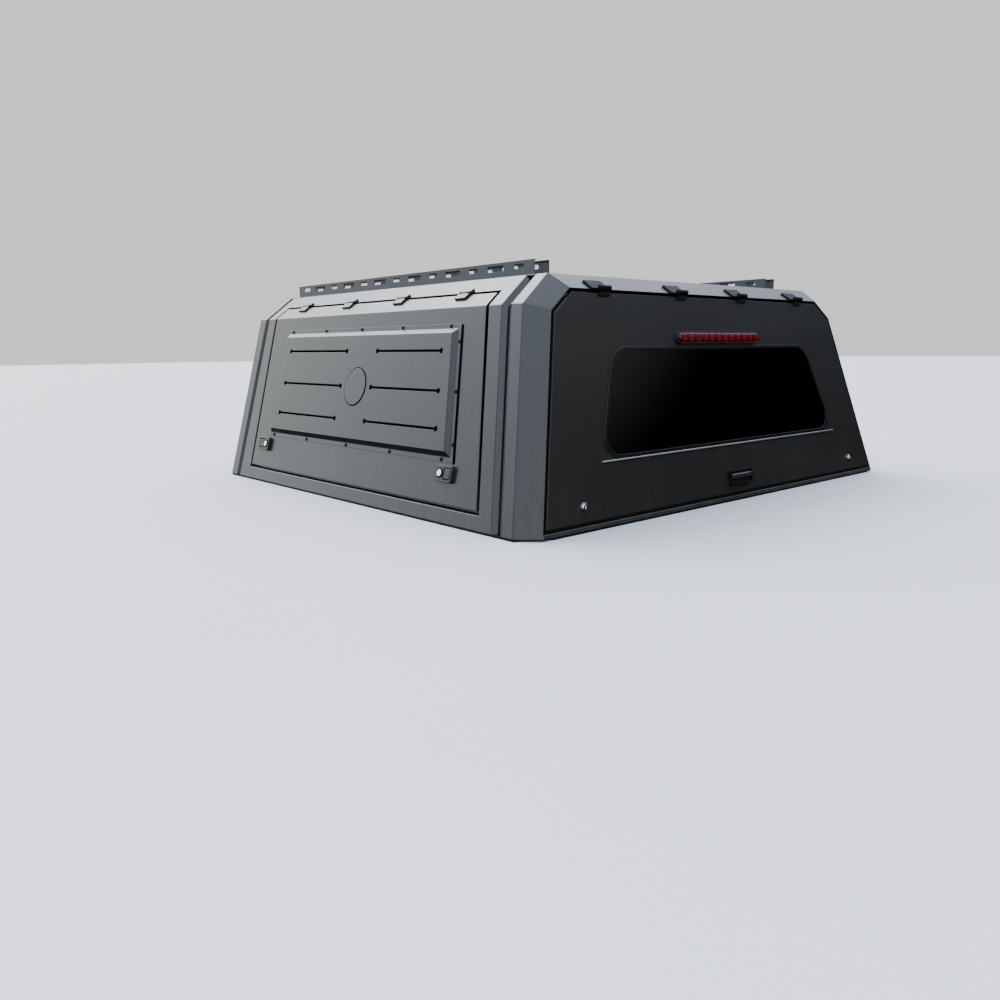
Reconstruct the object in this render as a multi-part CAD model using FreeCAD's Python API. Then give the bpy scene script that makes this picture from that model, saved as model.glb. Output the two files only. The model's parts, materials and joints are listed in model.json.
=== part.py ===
import FreeCAD, Part
import math
import os

from FreeCAD import Placement, Rotation, Vector

# Pickup truck canopy: a folded sheet shell with a lift-up door on each side and a
# lift-up hatch at the rear. Millimetres. X points to the vehicle's right, Y to the
# cab and Z up. The origin is at the middle of the footprint, on the tub's rail.

# Outer shell
LENGTH = 1560.0
BASE_WIDTH = 1690.0
ROOF_HEIGHT = 622.0
SIDE_LEAN = 143.0
CHAMFER_RUN = 100.0
SHOULDER_DROP = 77.0
HATCH_FOLD_DROP = 39.0
HATCH_LEAN = 124.0
SLOPE_RUN = 60.0
FACET_INSET = 19.0
CORNER_CUT = 50.0
SHEET = 2.0
SEAL_HEIGHT = 5.0

# Pressed gutters in the side sheets, each with a bevelled front edge
CORNER_STRIP = 40.5
REAR_GUTTER_WIDTH = 22.0
FRONT_GUTTER_WIDTH = 10.0
GUTTER_DEPTH = 18.0
GUTTER_BEVEL = 12.0
FRONT_STRIP = 42.0

# Door and hatch openings
EDGE_GAP = 9.0
LAND_DEPTH = 18.0
LAND_WIDTH = 32.0
HEM_DEPTH = 10.0
STIFFENER_DEPTH = 15.0
STIFFENER_WIDTH = 34.0
STIFFENER_INSET = 38.0
SEAL_INSET = 9.0
SEAL_WIDTH = 12.0
SEAT_GAP = 0.3
DOOR_BOTTOM = 50.0
DOOR_REAR = 184.5
DOOR_FRONT_INSET = 144.0
DOOR_FRONT_LEAN = 0.036
DOOR_TOP_DROP = 72.0
HATCH_BOTTOM = 24.0

# Pressed pan on each side door, with its margins to the door's edges
PAN_REAR_MARGIN = 102.5
PAN_FRONT_MARGIN = 84.0
PAN_BOTTOM_MARGIN = 103.0
PAN_TOP_MARGIN = 43.0
PAN_LEAN = 0.193
PAN_FLANGE = 12.0
PAN_BEVEL = 14.0
PAN_RISE = 12.0
PAN_SHEET = 1.5
PAN_SLOT_ROWS = (0.2235, 0.4986, 0.7937)
PAN_SLOT_WIDTH = 6.5
PAN_SLOT_EYE = 15.0
PAN_SLOT_GAP = 167.0
PAN_SLOT_MARGIN = 42.0
ROUNDEL_SHIFT = 15.5
ROUNDEL_DIAMETER = 110.0
ROUNDEL_RISE = 2.0

# Hinges
PIN_RADIUS = 2.5
PIN_CLEARANCE = 0.1
KNUCKLE_GAP = 0.5
SIDE_KNUCKLE_RADIUS = 4.5
SIDE_LEAF_THICKNESS = 6.0
SIDE_HINGE_WIDTH = 44.0
SIDE_FIXED_LEAF_LENGTH = 16.5
SIDE_MOVING_LEAF_LENGTH = 26.0
SIDE_HINGE_REAR_MARGIN = 130.5
SIDE_HINGE_FRONT_MARGIN = 136.0
SIDE_HINGE_SHARES = (0.0, 0.3415, 0.672, 1.0)
REAR_KNUCKLE_RADIUS = 7.0
REAR_LEAF_THICKNESS = 5.0
REAR_HINGE_MARGIN = 119.0
REAR_HINGE_INNER = 146.0
REAR_HINGE_WIDTH = 40.0
REAR_LEAF_OVERHANG = 24.0
REAR_FIXED_LEAF_LENGTH = 40.0
REAR_MOVING_LEAF_LENGTH = 20.0

# Side door latches
LATCH_BOTTOM_MARGIN = 75.0
LATCH_REAR_MARGIN = 152.5
LATCH_FRONT_MARGIN = 77.0
LATCH_LENGTH = 66.0
LATCH_WIDTH = 44.0
LATCH_RISE = 10.0
LATCH_CORNER = 8.0
LATCH_WALL = 4.0
KEY_DIAMETER = 18.0
KEY_RISE = 2.5
KEY_OFFSET = 15.0
PADDLE_LENGTH = 24.0
PADDLE_WIDTH = 26.0
PADDLE_THICKNESS = 4.0
PADDLE_CLEARANCE = 2.5
PADDLE_PIN_RADIUS = 1.5

# Hatch window, lamp and handle
WINDOW_SIDE_MARGIN = 236.0
WINDOW_TAPER = 98.0
WINDOW_BOTTOM = 170.0
WINDOW_TOP_MARGIN = 138.0
WINDOW_TOP_RADIUS = 74.0
WINDOW_BOTTOM_RADIUS = 49.0
GLASS_THICKNESS = 4.0
RUBBER_LIP = 5.0
RUBBER_RISE = 3.0
LEDGE_OVERHANG = 4.0
LEDGE_HEIGHT = 4.0
LEDGE_RISE = 5.0
LAMP_LENGTH = 400.0
LAMP_WIDTH = 34.0
LAMP_OVER_WINDOW = 27.0
LAMP_RISE = 14.0
LAMP_BEZEL = 4.0
HANDLE_LENGTH = 106.0
HANDLE_WIDTH = 40.0
HANDLE_CENTRE = 67.0
HANDLE_RISE = 12.0
HANDLE_LEVER_WIDTH = 14.0
HATCH_LOCK_MARGIN = 147.0
HATCH_LOCK_HEIGHT = 61.0
HATCH_LOCK_DIAMETER = 22.0
HATCH_LOCK_BARREL = 15.0

# Front window
FRONT_WINDOW_SIDE_MARGIN = 325.0
FRONT_WINDOW_TAPER = 90.0
FRONT_WINDOW_BOTTOM = 170.0
FRONT_WINDOW_TOP_MARGIN = 172.0

# Roof rails and roof bows
RAIL_INSET = 37.0
RAIL_WIDTH = 54.0
RAIL_HEIGHT = 43.0
RAIL_LIP = 8.0
RAIL_REAR_MARGIN = 86.0
RAIL_FRONT_MARGIN = 35.0
RAIL_SLOT_COUNT = 13
RAIL_SLOT_MARGIN = 60.0
RAIL_SLOT_DROP = 15.0
RAIL_LONG_SLOT = 66.0
RAIL_LONG_SLOT_HEIGHT = 17.0
RAIL_SHORT_SLOT = 40.0
RAIL_SHORT_SLOT_HEIGHT = 12.0
RAIL_SLOT_CORNER = 5.0
BOW_COUNT = 3
BOW_WIDTH = 60.0
BOW_DEPTH = 25.0
BOW_FLANGE = 18.0

# Base rails that stand on the tub
BASE_FLANGE = 50.0
BASE_LIP = 30.0
BASE_SHEET = 3.0
BASE_SLOT_COUNT = 4
BASE_SLOT_LENGTH = 30.0
BASE_SLOT_WIDTH = 11.0
BASE_SLOT_MARGIN = 190.0
BASE_SEAL_WIDTH = 40.0
REAR_SILL_DEPTH = 42.0

# Derived places
REAR_Y = -LENGTH / 2
FRONT_Y = LENGTH / 2
BASE_HALF = BASE_WIDTH / 2
SHOULDER_HALF = BASE_HALF - SIDE_LEAN
ROOF_HALF = SHOULDER_HALF - CHAMFER_RUN
FOLD_HALF = ROOF_HALF - FACET_INSET
CORNER_REAR_HALF = BASE_HALF - CORNER_CUT
SHOULDER_HEIGHT = ROOF_HEIGHT - SHOULDER_DROP
HATCH_FOLD_HEIGHT = ROOF_HEIGHT - HATCH_FOLD_DROP
SIDE_SLOPE = SIDE_LEAN / SHOULDER_HEIGHT
REAR_SLOPE = HATCH_LEAN / HATCH_FOLD_HEIGHT
FAR = 3 * LENGTH
FOLD_REAR_Y = REAR_Y + HATCH_LEAN
ROOF_REAR_Y = FOLD_REAR_Y + SLOPE_RUN
SHOULDER_REAR_Y = REAR_Y + CORNER_CUT + REAR_SLOPE * SHOULDER_HEIGHT
DOOR_FRONT = LENGTH - DOOR_FRONT_INSET
PAN_REAR = DOOR_REAR + PAN_REAR_MARGIN
PAN_FRONT = DOOR_FRONT - PAN_FRONT_MARGIN
PAN_BOTTOM = DOOR_BOTTOM + PAN_BOTTOM_MARGIN
PAN_TOP = SHOULDER_HEIGHT - PAN_TOP_MARGIN
LATCH_HEIGHT = DOOR_BOTTOM + LATCH_BOTTOM_MARGIN
RAIL_REAR_Y = ROOF_REAR_Y + RAIL_REAR_MARGIN
RAIL_FRONT_Y = FRONT_Y - RAIL_FRONT_MARGIN
WINDOW_BOTTOM_HALF = CORNER_REAR_HALF - WINDOW_SIDE_MARGIN
WINDOW_TOP_HALF = WINDOW_BOTTOM_HALF - WINDOW_TAPER
WINDOW_TOP = HATCH_FOLD_HEIGHT - WINDOW_TOP_MARGIN
FRONT_WINDOW_BOTTOM_HALF = BASE_HALF - FRONT_WINDOW_SIDE_MARGIN
FRONT_WINDOW_TOP_HALF = FRONT_WINDOW_BOTTOM_HALF - FRONT_WINDOW_TAPER
FRONT_WINDOW_TOP = ROOF_HEIGHT - FRONT_WINDOW_TOP_MARGIN


def unit(vector):
    """Same direction, length one."""
    return Vector(vector).normalize()


def plane(first, second, third):
    """Plane through three points, as a point and a normal that points out of the shell."""
    normal = unit((second - first).cross(third - first))
    middle = Vector(0, 0, SHOULDER_HEIGHT / 2)
    return first, normal if normal.dot(first - middle) > 0 else -normal


def mirror_point(point):
    """The same point on the other side of the vehicle."""
    return Vector(-point.x, point.y, point.z)


def shell_faces():
    """The flat outer faces of the shell by name."""
    foot = Vector(-BASE_HALF, REAR_Y + CORNER_CUT, 0)
    heel = Vector(-CORNER_REAR_HALF, REAR_Y, 0)
    edge = Vector(SIDE_SLOPE, REAR_SLOPE, 1) * SHOULDER_HEIGHT
    shoulder = Vector(-SHOULDER_HALF, SHOULDER_REAR_Y, SHOULDER_HEIGHT)
    roof_corner = Vector(-ROOF_HALF, ROOF_REAR_Y, ROOF_HEIGHT)
    fold_corner = Vector(-FOLD_HALF, FOLD_REAR_Y, HATCH_FOLD_HEIGHT)
    left = {
        "side": (foot, foot + edge, foot + Vector(0, 1, 0)),
        "chamfer": (shoulder, roof_corner, shoulder + Vector(0, 1, 0)),
        "corner": (foot, heel, foot + edge),
        "facet": (shoulder, fold_corner, roof_corner),
    }
    faces = {"left_" + name: plane(*points) for name, points in left.items()}
    for name, points in left.items():
        faces["right_" + name] = plane(*[mirror_point(point) for point in points])
    faces["roof"] = (Vector(0, 0, ROOF_HEIGHT), Vector(0, 0, 1))
    faces["front"] = (Vector(0, FRONT_Y, 0), Vector(0, 1, 0))
    faces["rear"] = plane(heel, mirror_point(heel), fold_corner)
    faces["slope"] = plane(fold_corner, mirror_point(fold_corner), roof_corner)
    return faces


FACES = shell_faces()


def half_space(point, normal):
    """Everything on a plane's outer side."""
    box = Part.makeBox(FAR, FAR, FAR, Vector(-FAR / 2, -FAR / 2, 0))
    box.Placement = Placement(point, Rotation(Vector(0, 0, 1), normal))
    return box


def beyond(face, inset=0.0):
    """Everything outside a shell face that has moved inwards by an inset."""
    point, normal = FACES[face]
    return half_space(point - normal * inset, normal)


def envelope(inset):
    """The shell's closed outer form, moved inwards on every face but the bottom."""
    block = Part.makeBox(BASE_WIDTH, LENGTH, ROOF_HEIGHT, Vector(-BASE_HALF, REAR_Y, SEAL_HEIGHT))
    return block.cut([beyond(face, inset) for face in FACES])


ENVELOPES = {}


def layer(outer, inner):
    """The shell between two depths under its outer face."""
    for depth in (outer, inner):
        if depth not in ENVELOPES:
            ENVELOPES[depth] = envelope(depth)
    return ENVELOPES[outer].cut(ENVELOPES[inner])


def prism_along_x(points, low, high):
    """Outline of (y, z) points carried from one X to another."""
    corners = [Vector(low, y, z) for y, z in points]
    face = Part.Face(Part.makePolygon(corners + corners[:1]))
    return face.extrude(Vector(high - low, 0, 0))


def prism_along_y(points, low, high):
    """Outline of (x, z) points carried from one Y to another."""
    corners = [Vector(x, low, z) for x, z in points]
    face = Part.Face(Part.makePolygon(corners + corners[:1]))
    return face.extrude(Vector(0, high - low, 0))


def grown(points, distances):
    """Convex outline with each side moved out by its own distance, sides in order."""
    count = len(points)
    turn = sum(points[i][0] * points[(i + 1) % count][1] - points[(i + 1) % count][0] * points[i][1]
               for i in range(count))
    lines = []
    for i in range(count):
        (x0, y0), (x1, y1) = points[i], points[(i + 1) % count]
        size = math.hypot(x1 - x0, y1 - y0) * math.copysign(1, turn)
        nx, ny = (y1 - y0) / size, (x0 - x1) / size
        lines.append((nx, ny, nx * x0 + ny * y0 + distances[i]))
    corners = []
    for i in range(count):
        (a, b, c), (d, e, f) = lines[i - 1], lines[i]
        scale = a * e - b * d
        corners.append(((c * e - b * f) / scale, (a * f - c * d) / scale))
    return corners


def rear_line(offset, z):
    """Y of a line that follows the hatch's lean at a distance from the base's rear edge."""
    return REAR_Y + offset + REAR_SLOPE * z


def solid_of(shape):
    """One clean solid or compound with merged coplanar faces."""
    return shape.removeSplitter()


def mirrored(shape):
    """The same piece on the other side of the vehicle."""
    return shape.mirror(Vector(0, 0, 0), Vector(1, 0, 0))


def frame(origin, up, out):
    """Placement with local Y along up and local Z along out."""
    return Placement(origin, Rotation(up.cross(out), up, out, "ZYX"))


def placed(shape, placement):
    """A copy of the piece moved to a placement."""
    copy = shape.copy()
    copy.Placement = placement.multiply(copy.Placement)
    return copy


SIDE_UP = unit(Vector(SIDE_SLOPE, 0, 1))
SIDE_OUT = FACES["left_side"][1]
CHAMFER_UP = unit(Vector(CHAMFER_RUN, 0, SHOULDER_DROP))
CHAMFER_OUT = FACES["left_chamfer"][1]
REAR_UP = unit(Vector(0, REAR_SLOPE, 1))
REAR_OUT = FACES["rear"][1]
SLOPE_UP = unit(Vector(0, SLOPE_RUN, HATCH_FOLD_DROP))
SLOPE_OUT = FACES["slope"][1]


def on_side(y, z):
    """Frame on the left side face: local X to the rear, local Y up the face."""
    return frame(Vector(-BASE_HALF + SIDE_SLOPE * z, y, z), SIDE_UP, SIDE_OUT)


def on_rear(x, z):
    """Frame on the rear face: local X to the vehicle's right, local Y up the face."""
    return frame(Vector(x, REAR_Y + REAR_SLOPE * z, z), REAR_UP, REAR_OUT)


def rounded_outline(points, radii):
    """Closed flat wire through (x, y) points with a rounded corner at each."""
    edges = []
    count = len(points)
    ends = []
    for i in range(count):
        corner = Vector(*points[i], 0)
        before = unit(Vector(*points[i - 1], 0) - corner)
        after = unit(Vector(*points[(i + 1) % count], 0) - corner)
        half_angle = before.getAngle(after) / 2
        reach = radii[i] / math.tan(half_angle)
        middle = unit(before + after) * (radii[i] / math.sin(half_angle) - radii[i])
        ends.append((corner + before * reach, corner + middle, corner + after * reach))
    for i in range(count):
        start, middle, stop = ends[i]
        edges.append(Part.Arc(start, middle, stop).toShape())
        edges.append(Part.makeLine(stop, ends[(i + 1) % count][0]))
    return Part.Wire(edges)


def rounded_plate(points, radii, low, high):
    """Rounded outline as a plate between two heights."""
    face = Part.Face(rounded_outline(points, radii))
    plate = face.extrude(Vector(0, 0, high - low))
    plate.translate(Vector(0, 0, low))
    return plate


def stadium(length, width, low, high):
    """Plate with half-round ends, long along local X."""
    radius = width / 2
    reach = length / 2 - radius
    ends = [Part.Arc(Vector(side * reach, -side * radius, low), Vector(side * (reach + radius), 0, low),
                     Vector(side * reach, side * radius, low)).toShape() for side in (1, -1)]
    sides = [Part.makeLine(Vector(side * reach, side * radius, low),
                           Vector(-side * reach, side * radius, low)) for side in (1, -1)]
    return Part.Face(Part.Wire([ends[0], sides[0], ends[1], sides[1]])).extrude(Vector(0, 0, high - low))


def rectangle(length, width):
    """Corners of a centred rectangle."""
    return [(-length / 2, -width / 2), (length / 2, -width / 2),
            (length / 2, width / 2), (-length / 2, width / 2)]


def block(x0, x1, y0, y1, z0, z1):
    """Box between given limits."""
    return Part.makeBox(x1 - x0, y1 - y0, z1 - z0, Vector(x0, y0, z0))


# Openings and the edges that follow them
def door_outline(grow):
    """(y, z) outline of the side door, larger all round by a distance on its own face."""
    top = ROOF_HEIGHT - DOOR_TOP_DROP * CHAMFER_UP.z
    points = [(rear_line(DOOR_REAR, DOOR_BOTTOM), DOOR_BOTTOM),
              (REAR_Y + DOOR_FRONT + DOOR_FRONT_LEAN * DOOR_BOTTOM, DOOR_BOTTOM),
              (REAR_Y + DOOR_FRONT + DOOR_FRONT_LEAN * top, top),
              (rear_line(DOOR_REAR, top), top)]
    return grown(points, (grow * SIDE_UP.z, grow, grow * CHAMFER_UP.z, grow))


def door_prism(grow):
    """The door outline carried through the left side of the shell."""
    return prism_along_x(door_outline(grow), -BASE_HALF - EDGE_GAP, 0)


def rear_face_corners():
    """Lower, middle and upper half widths of the rear face with their heights."""
    lower = (CORNER_REAR_HALF, 0.0)
    upper = (FOLD_HALF, HATCH_FOLD_HEIGHT)
    (point, facet), (_, back) = FACES["left_facet"], FACES["rear"]
    along = unit(facet.cross(back))
    start = Vector(-FOLD_HALF, FOLD_REAR_Y, HATCH_FOLD_HEIGHT)
    corner_point, corner = FACES["left_corner"]
    travel = corner.dot(corner_point - start) / corner.dot(along)
    middle = start + along * travel
    return lower, (-middle.x, middle.z), upper


REAR_FACE = rear_face_corners()


def hatch_outline(grow, bottom=HATCH_BOTTOM):
    """(x, z) outline of the hatch, larger all round by a distance."""
    lower, middle, upper = REAR_FACE
    lean = (lower[0] - middle[0]) / middle[1]
    half = lower[0] - lean * bottom
    points = [(-half, bottom), (half, bottom), middle, upper,
              (-upper[0], upper[1]), (-middle[0], middle[1])]
    up = grow - EDGE_GAP
    return grown(points, (grow * REAR_UP.z, up, up, up * REAR_UP.z, up, up))


def hatch_prism(grow):
    """The hatch outline carried through the rear of the shell."""
    return prism_along_y(hatch_outline(grow), REAR_Y - EDGE_GAP, 0)


def ring_land(opening):
    """Folded seat round an opening: a wall inwards and a land behind the closed leaf."""
    wall = layer(0, LAND_DEPTH + SHEET).common(opening(EDGE_GAP + SHEET).cut(opening(EDGE_GAP)))
    land = layer(LAND_DEPTH, LAND_DEPTH + SHEET)
    land = land.common(opening(EDGE_GAP).cut(opening(EDGE_GAP - LAND_WIDTH)))
    return wall.fuse(land)


# Fixed sheets
def gutters():
    """Where each gutter's channel starts at the base, its lean per height and its clear width."""
    rear = rear_line(CORNER_CUT + CORNER_STRIP + SHEET, 0)
    front = FRONT_Y - FRONT_STRIP - SHEET - GUTTER_BEVEL - FRONT_GUTTER_WIDTH
    return [(rear, REAR_SLOPE, REAR_GUTTER_WIDTH), (front, 0.0, FRONT_GUTTER_WIDTH)]


def gutter_space(start, lean, width, wall):
    """Room of a gutter on the left side, larger all round by a wall: a channel and the bevel before it."""
    top = ROOF_HEIGHT + EDGE_GAP

    def strip(low, high, depth):
        corners = [(low, 0), (high, 0), (high + lean * top, top), (low + lean * top, top)]
        return layer(0, depth).common(prism_along_x(corners, -BASE_HALF, -ROOF_HALF))

    end = start + width
    channel = strip(start - wall, end + wall, GUTTER_DEPTH + wall)
    bevel = strip(end, end + GUTTER_BEVEL + SHEET, GUTTER_BEVEL + wall)
    edge = end + GUTTER_BEVEL + wall * math.sqrt(2)
    corner = Vector(-SHOULDER_HALF, edge + lean * SHOULDER_HEIGHT, SHOULDER_HEIGHT)
    forward = Vector(0, 1, -lean)
    under = [half_space(corner, forward - FACES[face][1]) for face in ("left_side", "left_chamfer")]
    return channel.fuse(bevel.cut(under[0].common(under[1])))


def side_sheet():
    """Left side sheet: both gutters, the header, the sill and the seat of the door."""
    top = ROOF_HEIGHT + EDGE_GAP
    rear = CORNER_CUT + CORNER_STRIP
    front = FRONT_Y - FRONT_STRIP
    zone = prism_along_x([(rear_line(rear, 0), 0), (front, 0), (front, top), (rear_line(rear, top), top)],
                         -BASE_HALF, -ROOF_HALF)
    sheet = layer(0, SHEET).common(zone).cut(door_prism(EDGE_GAP)).fuse(ring_land(door_prism).common(zone))
    for gutter in gutters():
        sheet = sheet.fuse(gutter_space(*gutter, SHEET).common(zone)).cut(gutter_space(*gutter, 0))
    return solid_of(sheet)


def rear_ring():
    """The whole seat of the hatch, before it is shared among header, corners and sill."""
    return ring_land(hatch_prism).common(beyond("rear", LAND_DEPTH + LAND_WIDTH))


def header_zone():
    """Space over the hatch between the two upper facets."""
    lower, middle, upper = REAR_FACE
    low = upper[1] - EDGE_GAP - LAND_WIDTH
    points = [(-upper[0], low), (upper[0], low), (upper[0], upper[1]), (ROOF_HALF, ROOF_HEIGHT),
              (-ROOF_HALF, ROOF_HEIGHT), (-upper[0], upper[1])]
    return prism_along_y(points, REAR_Y, ROOF_REAR_Y)


def sill_zone():
    """Space under the hatch, between the corner posts' seats."""
    outline = hatch_outline(EDGE_GAP - LAND_WIDTH, bottom=SEAL_HEIGHT - LAND_WIDTH)
    low = [point for point in outline if point[1] < SHOULDER_HEIGHT / 2]
    high = HATCH_BOTTOM - EDGE_GAP + LAND_WIDTH
    (x0, z0), (x1, z1) = low
    lean = (REAR_FACE[0][0] - REAR_FACE[1][0]) / REAR_FACE[1][1]
    points = [(x0, z0), (x1, z1), (x1 - lean * (high - z1), high), (x0 + lean * (high - z0), high)]
    return prism_along_y(points, REAR_Y, REAR_Y + REAR_SILL_DEPTH + HATCH_LEAN)


def rear_header():
    """Sloping sheet over the hatch that carries its hinges."""
    sheet = layer(0, SHEET).cut(hatch_prism(EDGE_GAP)).fuse(rear_ring())
    return solid_of(sheet.common(header_zone()))


def rear_corner():
    """Left rear corner: post with its facets, a strip of the side and the hatch's seat."""
    rear = CORNER_CUT + CORNER_STRIP
    top = ROOF_HEIGHT + EDGE_GAP
    zone = prism_along_x([(REAR_Y, 0), (rear_line(rear, 0), 0), (rear_line(rear, top), top), (REAR_Y, top)],
                         -BASE_HALF, 0)
    roof_zone = block(-ROOF_HALF, ROOF_HALF, ROOF_REAR_Y, FRONT_Y, SHOULDER_HEIGHT, ROOF_HEIGHT)
    skin = layer(0, SHEET).cut(hatch_prism(EDGE_GAP)).cut(roof_zone)
    sheet = skin.fuse(rear_ring()).cut(header_zone()).cut(sill_zone()).common(zone)
    solids = [solid for solid in sheet.Solids if solid.Volume > SHEET ** 3]
    return solid_of(max(solids, key=lambda solid: solid.Volume))


def rear_sill():
    """Folded bar under the hatch, between the corner posts."""
    sheet = layer(0, SHEET).cut(hatch_prism(EDGE_GAP)).fuse(rear_ring()).common(sill_zone())
    half = CORNER_REAR_HALF - LAND_WIDTH
    foot = block(-half, half, REAR_Y + SHEET / 2, REAR_Y + REAR_SILL_DEPTH, SEAL_HEIGHT,
                 SEAL_HEIGHT + BASE_SHEET)
    return solid_of(sheet.fuse(foot.common(sill_zone())))


def roof_panel():
    """Flat roof sheet between the side sheets."""
    zone = block(-ROOF_HALF, ROOF_HALF, ROOF_REAR_Y, FRONT_Y - SHEET, SHOULDER_HEIGHT, ROOF_HEIGHT)
    return solid_of(layer(0, SHEET).common(zone))


def front_corner():
    """Left front strip of the side, up to the roof."""
    zone = block(-BASE_HALF, -ROOF_HALF, FRONT_Y - FRONT_STRIP, FRONT_Y - SHEET, 0, ROOF_HEIGHT)
    return solid_of(layer(0, SHEET).common(zone))


def front_window_outline(grow):
    """Corners of the front window on the front face."""
    low, high = FRONT_WINDOW_BOTTOM_HALF, FRONT_WINDOW_TOP_HALF
    points = [(-low, FRONT_WINDOW_BOTTOM), (low, FRONT_WINDOW_BOTTOM),
              (high, FRONT_WINDOW_TOP), (-high, FRONT_WINDOW_TOP)]
    return grown(points, [grow] * 4)


def window_outline(grow):
    """Corners of the hatch window in the rear face's own frame."""
    points = [(-WINDOW_BOTTOM_HALF, WINDOW_BOTTOM), (WINDOW_BOTTOM_HALF, WINDOW_BOTTOM),
              (WINDOW_TOP_HALF, WINDOW_TOP), (-WINDOW_TOP_HALF, WINDOW_TOP)]
    return grown(points, [grow] * 4)


def window_radii(grow):
    return [WINDOW_BOTTOM_RADIUS + grow] * 2 + [WINDOW_TOP_RADIUS + grow] * 2


def window_piece(outline, grow, low, high):
    """Window outline as a plate in its face's frame."""
    return rounded_plate(outline(grow), window_radii(grow), low, high)


def window_rubber(outline):
    """Rubber that grips the sheet with its groove and holds the glass inside."""
    body = window_piece(outline, RUBBER_LIP, -SHEET - RUBBER_RISE, RUBBER_RISE)
    body = body.cut(window_piece(outline, -RUBBER_LIP, -SHEET - RUBBER_RISE, RUBBER_RISE))
    groove = window_piece(outline, RUBBER_LIP, -SHEET, 0).cut(window_piece(outline, 0, -SHEET, 0))
    glass = glass_pane(outline)
    return body.cut(groove).cut(glass)


def glass_pane(outline):
    """Tinted pane held half a lip deep in the rubber."""
    middle = -SHEET / 2
    return window_piece(outline, -RUBBER_LIP / 2, middle - GLASS_THICKNESS / 2, middle + GLASS_THICKNESS / 2)


FRONT_FRAME = frame(Vector(0, FRONT_Y, 0), Vector(0, 0, 1), Vector(0, 1, 0))


def front_panel():
    """Front wall with its window opening."""
    sheet = layer(0, SHEET).common(beyond("front", SHEET))
    opening = window_piece(front_window_outline, 0, -FAR / 2, EDGE_GAP)
    return solid_of(sheet.cut(placed(opening, FRONT_FRAME)))


# Base
def base_rail():
    """Left base angle with slots for the clamps that hold the canopy to the tub."""
    foot = SEAL_HEIGHT
    wall = SHEET / SIDE_UP.z
    outer = -BASE_HALF + wall
    thick = BASE_SHEET / SIDE_UP.z
    points = [(outer + SIDE_SLOPE * foot, foot), (outer + SIDE_SLOPE * foot + BASE_FLANGE, foot),
              (outer + SIDE_SLOPE * foot + BASE_FLANGE, foot + BASE_SHEET),
              (outer + SIDE_SLOPE * (foot + BASE_SHEET) + thick, foot + BASE_SHEET),
              (outer + SIDE_SLOPE * (foot + BASE_LIP) + thick, foot + BASE_LIP),
              (outer + SIDE_SLOPE * (foot + BASE_LIP), foot + BASE_LIP)]
    rail = prism_along_y(points, base_rail_rear(), FRONT_Y - SHEET)
    return rail.cut([base_slot(y) for y in base_slot_places()] + base_notches())


def base_notches():
    """Room in the base angle for the backs of both gutters."""
    depth = envelope(GUTTER_DEPTH + SHEET + SEAT_GAP)
    notches = []
    for start, lean, width in gutters():
        low = start - SHEET - SEAT_GAP
        high = start + width + GUTTER_BEVEL + SHEET + lean * BASE_LIP + SEAT_GAP
        notch = block(-BASE_HALF, -ROOF_HALF, low, high, 0, SEAL_HEIGHT + 2 * BASE_LIP)
        notches.append(notch.cut(depth))
    return notches


def base_rail_rear():
    """Rear end of the base angles, clear of the hatch's seat."""
    return REAR_Y + CORNER_CUT + LAND_DEPTH + 2 * SHEET


def base_slot_places():
    first = base_rail_rear() + BASE_SLOT_MARGIN
    last = FRONT_Y - BASE_SLOT_MARGIN
    return [first + (last - first) * i / (BASE_SLOT_COUNT - 1) for i in range(BASE_SLOT_COUNT)]


def base_slot(y):
    """Clamp slot across the base flange, through the flange only."""
    x = -BASE_HALF + SHEET + BASE_FLANGE / 2 + BASE_SHEET
    slot = stadium(BASE_SLOT_LENGTH, BASE_SLOT_WIDTH, 0, SEAL_HEIGHT + 2 * BASE_SHEET)
    slot.translate(Vector(x, y, 0))
    return slot


def front_base_rail():
    """Base angle along the front wall."""
    half = BASE_HALF - SHEET - BASE_FLANGE - 2 * BASE_SHEET
    y = FRONT_Y - SHEET
    foot = block(-half, half, y - BASE_FLANGE, y, SEAL_HEIGHT, SEAL_HEIGHT + BASE_SHEET)
    lip = block(-half, half, y - BASE_SHEET, y, SEAL_HEIGHT, SEAL_HEIGHT + BASE_LIP)
    return solid_of(foot.fuse(lip))


def base_seal():
    """Rubber strips under the base: left, right, front and rear."""
    outer = BASE_HALF - SHEET
    inner = outer - BASE_SEAL_WIDTH
    rear = REAR_Y + CORNER_CUT
    left = block(-outer, -inner, rear, FRONT_Y - SHEET, 0, SEAL_HEIGHT)
    front = block(-inner + SEAT_GAP, inner - SEAT_GAP, FRONT_Y - SHEET - BASE_SEAL_WIDTH, FRONT_Y - SHEET,
                  0, SEAL_HEIGHT)
    half = CORNER_REAR_HALF - LAND_WIDTH
    back = block(-half, half, REAR_Y + SHEET, REAR_Y + REAR_SILL_DEPTH, 0, SEAL_HEIGHT)
    return Part.makeCompound([left, mirrored(left), front, back])


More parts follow.
